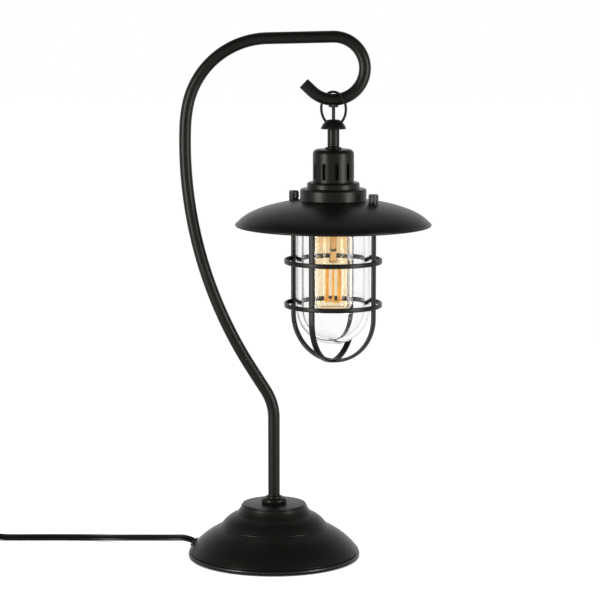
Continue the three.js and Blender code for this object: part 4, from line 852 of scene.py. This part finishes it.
# The lampholder: a black phenolic body with a brass screw shell, clamped to the shade by a ribbed ring.
phenolic = grained("phenolic", (0.003, 0.0028, 0.0026), 0.5, specular=0.05, variation=0.2, roughness_spread=0.25,
                   grain_scale=900.0, grain_depth=0.15)
SHADE_TOP = 406.05
body_outline = softened([
    (14.3, 374.55), (17, 374.55), (17, SHADE_TOP + 0.3), (19.3, SHADE_TOP + 0.3), (19.3, 428.35), (12, 433.35),
    (BORE_R, 433.35)], 0.9)
body_outline += [(BORE_R, 426.95), (2.5, 426.95), (2.5, 405.25), (14.3, 405.25)]
lathed("lampholder", body_outline, on_axis, 96, phenolic, "lantern", "black_plastic", "socket_body")


def threaded(outer, inner, foot, top, pitch, depth, axis, segments=48):
    """A tube with a rolled screw thread on both faces."""
    rows = int((top - foot) / pitch * 8)
    verts, faces = [], []
    for j in range(rows + 1):
        z = foot + (top - foot) * j / rows
        for k in range(segments):
            turn = k / segments
            wave = 0.5 - 0.5 * cos(2 * pi * (z / pitch - turn))
            at = 2 * pi * turn
            for r in (outer, inner):
                swell = r - depth + depth * wave
                verts.append(Vector((axis[0] + swell * cos(at), axis[1] + swell * sin(at), z)) * MM)

    def quad(*corners):
        faces.append([(j * segments + k % segments) * 2 + face for j, k, face in corners])

    for k in range(segments):
        for j in range(rows):
            quad((j, k, 0), (j, k + 1, 0), (j + 1, k + 1, 0), (j + 1, k, 0))
            quad((j, k, 1), (j + 1, k, 1), (j + 1, k + 1, 1), (j, k + 1, 1))
        quad((0, k, 0), (0, k, 1), (0, k + 1, 1), (0, k + 1, 0))
        quad((rows, k, 0), (rows, k + 1, 0), (rows, k + 1, 1), (rows, k, 1))
    return verts, faces


screw_shell = piece("screw_shell", *threaded(14.0, 13.6, 382.95, 404.95, 3.6, 0.25, on_axis), brass)
settle(screw_shell, "lantern", "brass", "socket_shell")
refinish(brass, "socket_contact")
ring_outline = [(17.3, 397.55), (23.2, 397.55), (23.7, 398.0), (23.7, 404.3), (23.4, 404.55), (17.3, 404.55)]
clamp_ring = piece("clamp_ring", *spun(ring_outline, on_axis, 96), black_plastic)


def ridge(radius, height_low, height_high, width, stand):
    """One upright rounded ridge on a round side, at angle 0 from the axis."""
    root = radius - 0.3
    section = [(root, -width / 2), (radius + stand * 0.6, -width / 4), (radius + stand, 0),
               (radius + stand * 0.6, width / 4), (root, width / 2)]
    levels = ((height_low, 0), (height_low + stand, 1), (height_high - stand, 1), (height_high, 0))
    verts = [Vector((root + (x - root) * share, y, z)) * MM for z, share in levels for x, y in section]
    return verts, skin(len(section), len(levels))


def joined(made, other):
    """The other mesh, made part of the piece."""
    start = len(made.data.vertices)
    verts = [v.co.copy() for part in (made, other) for v in part.data.vertices]
    faces = [tuple(f.vertices) for f in made.data.polygons]
    faces += [tuple(v + start for v in f.vertices) for f in other.data.polygons]
    finish, name = made.data.materials[0], made.name
    for part in (made, other):
        bpy.data.objects.remove(part, do_unlink=True)
    return piece(name, verts, faces, finish)


ribs = repeated(piece("ribs", *ridge(23.7, 398.2, 404.1, 2.2, 0.8), black_plastic), 36, 0.0, on_axis)
settle(joined(clamp_ring, ribs), "lantern", "black_plastic", "socket_ring")

# The shade: spun from one sheet, two rolled steps over a shallow dome, with its rim rolled under. Its
# underside is coated like the top.
SHADE_R = 104.5
SPAN = SHADE_R * 1.0144
RISE = SHADE_R * 0.333
STEP_1_R, STEP_1_FOOT = 28.0, 399.15
STEP_2_R, STEP_2_FOOT = 35.3, 386.75


def dome_height(r):
    return RISE * sqrt(1 - (r / SPAN) ** 2)


DOME_Z = STEP_2_FOOT - dome_height(36.0)
rim_r = SHADE_R - 1.5
rim_z = DOME_Z + dome_height(rim_r) - 1.5
shade_outline = arc(rim_r, rim_z, 1.5, -100, 62, 12)
start, end = asin(rim_r / SPAN), asin(36.6 / SPAN)
for k in range(41):
    r = SPAN * sin(start + (end - start) * k / 40)
    shade_outline.append((r, DOME_Z + dome_height(r)))
shade_outline += arc(36.3, STEP_2_FOOT + 1.0, 1.0, 270, 180, 5) + [(STEP_2_R, STEP_2_FOOT + 3)]
shade_outline += arc(STEP_2_R - 2.2, STEP_1_FOOT - 2.2, 2.2, 0, 90, 9)
shade_outline += arc(29.0, STEP_1_FOOT + 1.0, 1.0, 270, 180, 5)
shade_outline += arc(STEP_1_R - 2.4, SHADE_TOP - 2.4, 2.4, 0, 90, 9) + [(17.3, SHADE_TOP)]
shade = piece("shade_dish", *spun_sheet(shade_outline, SHEET, on_axis, 192), powder_coat)
STUD_AT = 47.7
STUD_HOLE_R = 2.4
HOOP_TURN = -28.5
stud_places = []
for half in (0, 180):
    at = radians(HOOP_TURN + half)
    stud_places.append((HANG_X + STUD_AT * cos(at), STUD_AT * sin(at)))
for place in stud_places:
    drilled(shade, place, STUD_HOLE_R, 370, 400, 24)


def bearing_face(place, radius, top, segments=48):
    """A flat face raised on the dome for a nut to turn on: its foot follows the dome."""
    verts = []
    for level in (0, 1):
        for k in range(segments):
            at = 2 * pi * k / segments
            x, y = place[0] + radius * cos(at), place[1] + radius * sin(at)
            foot = DOME_Z + dome_height(hypot(x - HANG_X, y)) - 0.3
            verts.append(Vector((x, y, top if level else foot)) * MM)
    return verts, skin(segments, 2)


KNOB_FOOT = 386.1
KNOB_TOP = 395.0
for place in stud_places:
    face = piece("bearing_face", *bearing_face(place, 5.2, KNOB_FOOT - 0.15), powder_coat)
    drilled(face, place, STUD_HOLE_R, 370, 400, 24)
    shade = joined(shade, face)
settle(shade, "lantern", "black_coat", "shade")

# Two knurled thumb nuts on threaded studs hold the cage's flange up against the shade. They are plated black.
black_zinc = grained("black_zinc", (0.045, 0.045, 0.043), 0.38, metallic=1.0, variation=0.2, roughness_spread=0.2,
                     grain_scale=1400.0, grain_depth=0.15)
for name, place in zip(("front", "back"), stud_places):
    stud = piece("threaded_stud_" + name, *threaded(2.0, 0.4, 378.8, 392.0, 0.8, 0.2, place, 24), zinc)
    settle(stud, "lantern", "zinc_plate", "stud_" + name)
    nut_outline = [(0, KNOB_FOOT + 6.3), (2.3, KNOB_FOOT + 6.3), (2.3, KNOB_FOOT), (4.5, KNOB_FOOT)]
    nut_outline += [(4.9, KNOB_FOOT + 0.4), (4.9, KNOB_TOP - 0.8)] + arc(4.2, KNOB_TOP - 0.7, 0.7, 5, 90, 5)
    nut_outline += [(0, KNOB_TOP)]
    nut = piece("thumb_knob_" + name, *spun(nut_outline, place, 48), black_zinc)
    knurl = piece("knurls", *ridge(4.85, KNOB_FOOT + 0.5, KNOB_TOP - 0.9, 1.0, 0.5), black_zinc)
    knob = joined(nut, repeated(knurl, 28, 0.1, place))
    settle(knob, "thumb_nut_" + name, "black_coat", "knob_" + name)

# The cage: two hoops of rounded strap, halved into each other under the jar, welded to a top flange and to
# two bands that run round the outside.
HOOP_R = 48.25
HOOP_T = 3.5
HOOP_W = 6.0
HOOP_CORNER = 0.9
HOOP_TOP = 376.2
HOOP_BEND_Z = 262.35
CAGE_R = 52.35
BAND_R = 50.02
BAND_H = 4.9


def hoop_tree():
    """A hoop of strap: its line is given flat in XY, then stood upright and turned about its axis."""
    tree, given, out = new_tree("cage_hoop", Thickness="Float", Width="Float", Corner="Float", Turn="Float",
                                Axis="Vector", Material="Material")
    line, flat, strap_shape, corner, strap, upright, spin, place = put(
        tree, "GeometryNodeMeshToCurve", "GeometryNodeSetCurveNormal", "GeometryNodeCurvePrimitiveQuadrilateral",
        "GeometryNodeFilletCurve", "GeometryNodeCurveToMesh", "GeometryNodeTransform", "ShaderNodeCombineXYZ",
        "GeometryNodeTransform")
    flat.mode, corner.mode = "Z_UP", "POLY"
    preset(corner, Count=4)
    preset(upright, Rotation=(pi / 2, 0, 0))
    preset(strap, Fill_Caps=True)
    link(tree, (given, "Geometry", line, "Mesh"), (line, 0, flat, "Curve"),
         (given, "Thickness", strap_shape, "Width"), (given, "Width", strap_shape, "Height"),
         (strap_shape, 0, corner, "Curve"), (given, "Corner", corner, "Radius"), (flat, 0, strap, "Curve"),
         (corner, 0, strap, "Profile Curve"), (strap, 0, upright, "Geometry"), (upright, 0, place, "Geometry"),
         (given, "Turn", spin, "Z"), (spin, 0, place, "Rotation"), (given, "Axis", place, "Translation"))
    return end_tree(tree, place, given, out)


CAGE_HOOP = hoop_tree()
hoop_line = [(HOOP_R, HOOP_TOP + 0.25 - 12 * k, 0) for k in range(9)]
hoop_line += [(x, y, 0) for x, y in arc(0, HOOP_BEND_Z, HOOP_R, 0, -180, 64)]
hoop_line += [(-x, y, 0) for x, y, _ in reversed(hoop_line[:9])]
crossing = HOOP_BEND_Z - HOOP_R
for name, node, turn, side in (("hoop_across", "hoop_side", HOOP_TURN, 1),
                               ("hoop_along", "hoop_front", HOOP_TURN - 90, -1)):
    strap = grown(line_of(name, hoop_line), CAGE_HOOP, powder_coat, Thickness=HOOP_T * MM, Width=HOOP_W * MM,
                  Corner=HOOP_CORNER * MM, Turn=radians(turn), Axis=(HANG_X * MM, 0, 0))
    half, low = (HOOP_W + 0.2) / 2, crossing + side * (HOOP_T - 0.05) / 2 - HOOP_T / 2
    spin = Matrix.Rotation(radians(turn), 3, "Z")
    box = [Vector((HANG_X, 0, low + (HOOP_T if up else 0))) + spin @ Vector((x * half, y * 5, 0))
           for up in (0, 1) for x, y in ((-1, -1), (1, -1), (1, 1), (-1, 1))]
    carved(strap, piece("notch", [v * MM for v in box], skin(4, 2), powder_coat))
    settle(strap, "lantern", "black_coat", node)
for node, middle in (("cage_ring_upper", 321.75), ("cage_ring_lower", 275.05)):
    low, high = middle - BAND_H / 2, middle + BAND_H / 2
    band_outline = [(BAND_R, low + 0.4), (BAND_R + 0.38, low)] + arc(CAGE_R - 0.7, low + 0.7, 0.7, -90, 0, 5)
    band_outline += arc(CAGE_R - 0.7, high - 0.7, 0.7, 0, 90, 5) + [(BAND_R + 0.38, high), (BAND_R, high - 0.4)]
    lathed(node.replace("cage_ring", "band"), band_outline, on_axis, 160, powder_coat, "lantern", "black_coat", node)
flange_outline = [(39.8, 376.45), (51.8, 376.45)] + arc(51.8, 377, 0.5, -90, 0, 3) + arc(51.8, 378, 0.5, 0, 90, 3)
flange_outline += [(39.8, 378.5)]
lathed("flange", flange_outline, on_axis, 128, powder_coat, "lantern", "black_coat", "cage_flange")

# The jar, blown in clear glass with a round bottom, hangs by its lip on the cage's flange, under a rubber
# gasket.
JAR_R = 39.3
JAR_WALL = 5.0
JAR_FOOT = 232.05
GLASS_IOR = 1.47


def ramp(node, *stops):
    """The stops of a colour ramp, each a place and a colour."""
    for element, (place, color) in zip(node.color_ramp.elements, stops):
        element.position, element.color = place, (*color, 1)


def glass(name, color, edge_shade, roughness, mirror=0.4, waviness=0.05, neck_tint_and_cap_reflection=None):
    """Clear glass with a painted shade along its edges, where it is seen at a slant, and faint waves;
    neck_tint_and_cap_reflection is (two heights, the tint above them).
    """
    finish, shader = new_finish(name, color, roughness)
    tree = finish.node_tree
    facing, tint, where, wave, bump = put(
        tree, "ShaderNodeLayerWeight", "ShaderNodeValToRGB", "ShaderNodeTexCoord", "ShaderNodeTexNoise",
        "ShaderNodeBump")
    preset(shader, Transmission_Weight=1.0, Specular_Tint=(mirror, mirror, mirror, 1), IOR=GLASS_IOR)
    preset(facing, Blend=0.5)
    preset(wave, Scale=30)
    preset(bump, Strength=waviness, Distance=0.001)
    # the ramp paints shade into the colour where the glass is seen at a slant
    ramp(tint, (0.55, color), (0.97, edge_shade))
    link(tree, (facing, "Facing", tint, "Fac"), (tint, "Color", shader, "Base Color"),
         (where, "Object", wave, "Vector"), (wave, "Fac", bump, "Height"), (bump, "Normal", shader, "Normal"))
    # a colour multiplied in above the given heights: on the bulb, partly its thicker amber coat and partly a painted
    # reflection of the brass cap
    if neck_tint_and_cap_reflection:
        (low, high), shade = neck_tint_and_cap_reflection
        height, share, blend = put(tree, "ShaderNodeSeparateXYZ", "ShaderNodeMapRange", "ShaderNodeMix")
        preset(share, From_Min=low, From_Max=high)
        blend.data_type, blend.blend_type = "RGBA", "MULTIPLY"
        blend.inputs[7].default_value = (*shade, 1)
        link(tree, (where, "Object", height, 0), (height, "Z", share, "Value"), (share, 0, blend, 0),
             (tint, "Color", blend, 6), (blend, 2, shader, "Base Color"))
    return finish


# the jar's edges take a painted shade, darkest where the glass is seen edge on
clear_glass = glass("clear_glass", (0.975, 0.977, 0.977), (0.18, 0.19, 0.19), 0.0)
bowl_z = JAR_FOOT + JAR_R
inner_r = JAR_R - JAR_WALL
jar_outline = arc(0, bowl_z, JAR_R, -90, 0, 32) + [(JAR_R, 300), (JAR_R, 340), (JAR_R, 378.2)]
jar_outline += [(42.9, 378.8)] + arc(42.9, 379.6, 0.5, -60, 0, 3) + arc(42.6, 381.0, 0.8, 0, 90, 4)
jar_outline += arc(inner_r + 0.8, 381.0, 0.8, 90, 180, 4) + [(inner_r, 340), (inner_r, 300)]
jar_outline += arc(0, bowl_z, inner_r, 0, -90, 32)
jar_outline[0] = (0, JAR_FOOT)
jar_outline[-1] = (0, bowl_z - inner_r)
lathed("jar", jar_outline, on_axis, 128, clear_glass, "lantern", "clear_glass", "glass_jar")
gasket_outline = [(37.6, 382.1), (43.2, 382.1), (43.4, 382.4), (43.4, 384.0), (43.0, 384.2), (37.8, 384.7)]
gasket_outline += [(37.6, 384.5)]
lathed("gasket", gasket_outline, on_axis, 96, rubber, "lantern", "rubber", "jar_gasket")

# The bulb: a long tubular one, amber tinted, with a rolled brass cap, a glass mount and a cage of filament.
BULB_R = 20.2
BULB_FOOT = 270.55
BULB_ROUND = 6.5
BULB_WALL = 0.8
BULB_NECK_R = 12.3
BULB_SHOULDER, BULB_TAPER, BULB_TOP = 344, 28, 379.4
# deeper amber towards the neck: partly the thicker amber coat, partly a painted reflection of the brass cap
amber_glass = glass("amber_glass", (0.95, 0.86, 0.70), (0.60, 0.38, 0.17), 0.0, mirror=0.3, waviness=0.03,
                    neck_tint_and_cap_reflection=((0.318, 0.345), (0.95, 0.85, 0.70)))


def bulb_face(radius, foot, rounding, neck):
    """One face of the bulb's wall, from the middle of its foot up to its neck."""
    face = [(0, foot)] + arc(radius - rounding, foot + rounding, rounding, -90, 0, 12) + [(radius, 300), (radius, 330)]
    face += [(radius - (radius - neck) * smooth_step(k / 12), BULB_SHOULDER + BULB_TAPER * k / 12)
             for k in range(13)]
    return face + [(neck, BULB_TOP)]


outer_face = bulb_face(BULB_R, BULB_FOOT, BULB_ROUND, BULB_NECK_R)
inner_face = bulb_face(BULB_R - BULB_WALL, BULB_FOOT + BULB_WALL, BULB_ROUND - BULB_WALL, BULB_NECK_R - BULB_WALL)
bulb_outline = outer_face + list(reversed(inner_face))
lathed("bulb_envelope", bulb_outline, on_axis, 96, amber_glass, "bulb", "amber_glass", "bulb_glass")
screw_cap = piece("screw_cap", *threaded(13.2, 12.6, 374.6, 395.5, 3.6, 0.35, on_axis), brass)
cap_shoulder = piece("cap_shoulder", *spun(
    [(12.4, 395.3), (12.95, 395.3)] + arc(9.2, 395.4, 3.9, 0, 78, 6) + [(6, 399.5), (0, 399.5)], on_axis, 48), brass)
settle(joined(screw_cap, cap_shoulder), "bulb", "brass", "bulb_cap")
refinish(zinc, "bulb_contact")

# the clear glass mount is coloured amber: a painted reflection of the amber envelope round it
mount_glass = glass("mount_glass", (0.84, 0.64, 0.38), (0.30, 0.16, 0.06), 0.02, waviness=0.0)
mount_outline = [(0, 320.05), (3.4, 320.05)] + arc(3.4, 321.65, 1.6, -90, 0, 5)
mount_outline += [(5.0, 322.4), (3.6, 325), (3.4, 340), (3.6, 367.5)]
mount_outline += [(4.4, 370), (6.5, 373.5), (9.6, 377), (11.1, BULB_TOP), (0, BULB_TOP)]
lathed("glass_mount", mount_outline, on_axis, 48, mount_glass, "bulb", "clear_glass", "bulb_stem")

# The filament hangs in eight strands between two stars of thin wire on a rod, glowing faintly.
STRANDS = 8
ROD_R, SPOKE_R, STRAND_R = 0.55, 0.22, 1.2
FILAMENT_R = 8.2
FILAMENT_LOW, FILAMENT_HIGH = 278.55, 315.05
frame_wire = grained("frame_wire", (0.42, 0.36, 0.28), 0.35, metallic=1.0, variation=0.15, roughness_spread=0.2,
                     grain_scale=3000.0, grain_depth=0.1)
support = bar("support", [(HANG_X, 0, z) for z in (FILAMENT_LOW, 290, 305, 319.9)], ROD_R, 16, frame_wire)
for z, dip, lift in ((FILAMENT_LOW + 0.5, -0.3, -0.4), (FILAMENT_HIGH - 0.5, 0.5, 0.6)):
    spoke_line = [(0.2, 0, z), (4, 0, z + dip), (7.2, 0, z), (7.6, 0, z + lift)]
    spoke = bar("spoke", spoke_line, SPOKE_R, 10, frame_wire)
    support = joined(support, repeated(spoke, STRANDS, pi / STRANDS, on_axis))
settle(support, "bulb", "zinc_plate", "filament_frame")

glow, glow_shader = new_finish("filament_glow", (0.75, 0.42, 0.12), 0.5)
glow_tree = glow.node_tree
where, flicker, heat = put(glow_tree, "ShaderNodeTexCoord", "ShaderNodeTexNoise", "ShaderNodeValToRGB")
ramp(heat, (0.3, (0.80, 0.40, 0.06)), (0.7, (0.95, 0.55, 0.12)))
preset(flicker, Scale=90)
preset(glow_shader, Emission_Strength=0.35)
link(glow_tree, (where, "Object", flicker, "Vector"), (flicker, "Fac", heat, "Fac"),
     (heat, "Color", glow_shader, "Base Color"), (heat, "Color", glow_shader, "Emission Color"))
strand_line = []
low, high = FILAMENT_LOW + 0.9, FILAMENT_HIGH - 0.9
for k in range(STRANDS):
    first, last = (low, high) if k % 2 else (high, low)
    at = 2 * pi * k / STRANDS
    for j in range(13):
        z = first + (last - first) * j / 12
        strand_line.append((HANG_X + FILAMENT_R * cos(at), FILAMENT_R * sin(at), z))
    if k == STRANDS - 1:
        break
    for j in range(1, 6):
        arm = at + 2 * pi / STRANDS * j / 6
        rise = sin(pi * j / 6) * 0.9 * (1 if k % 2 else -1)
        strand_line.append((HANG_X + FILAMENT_R * cos(arm), FILAMENT_R * sin(arm), last + rise))
filament = bar("filament_cage", strand_line, STRAND_R, 12, glow)
settle(filament, "bulb", "filament_metal", "filament")
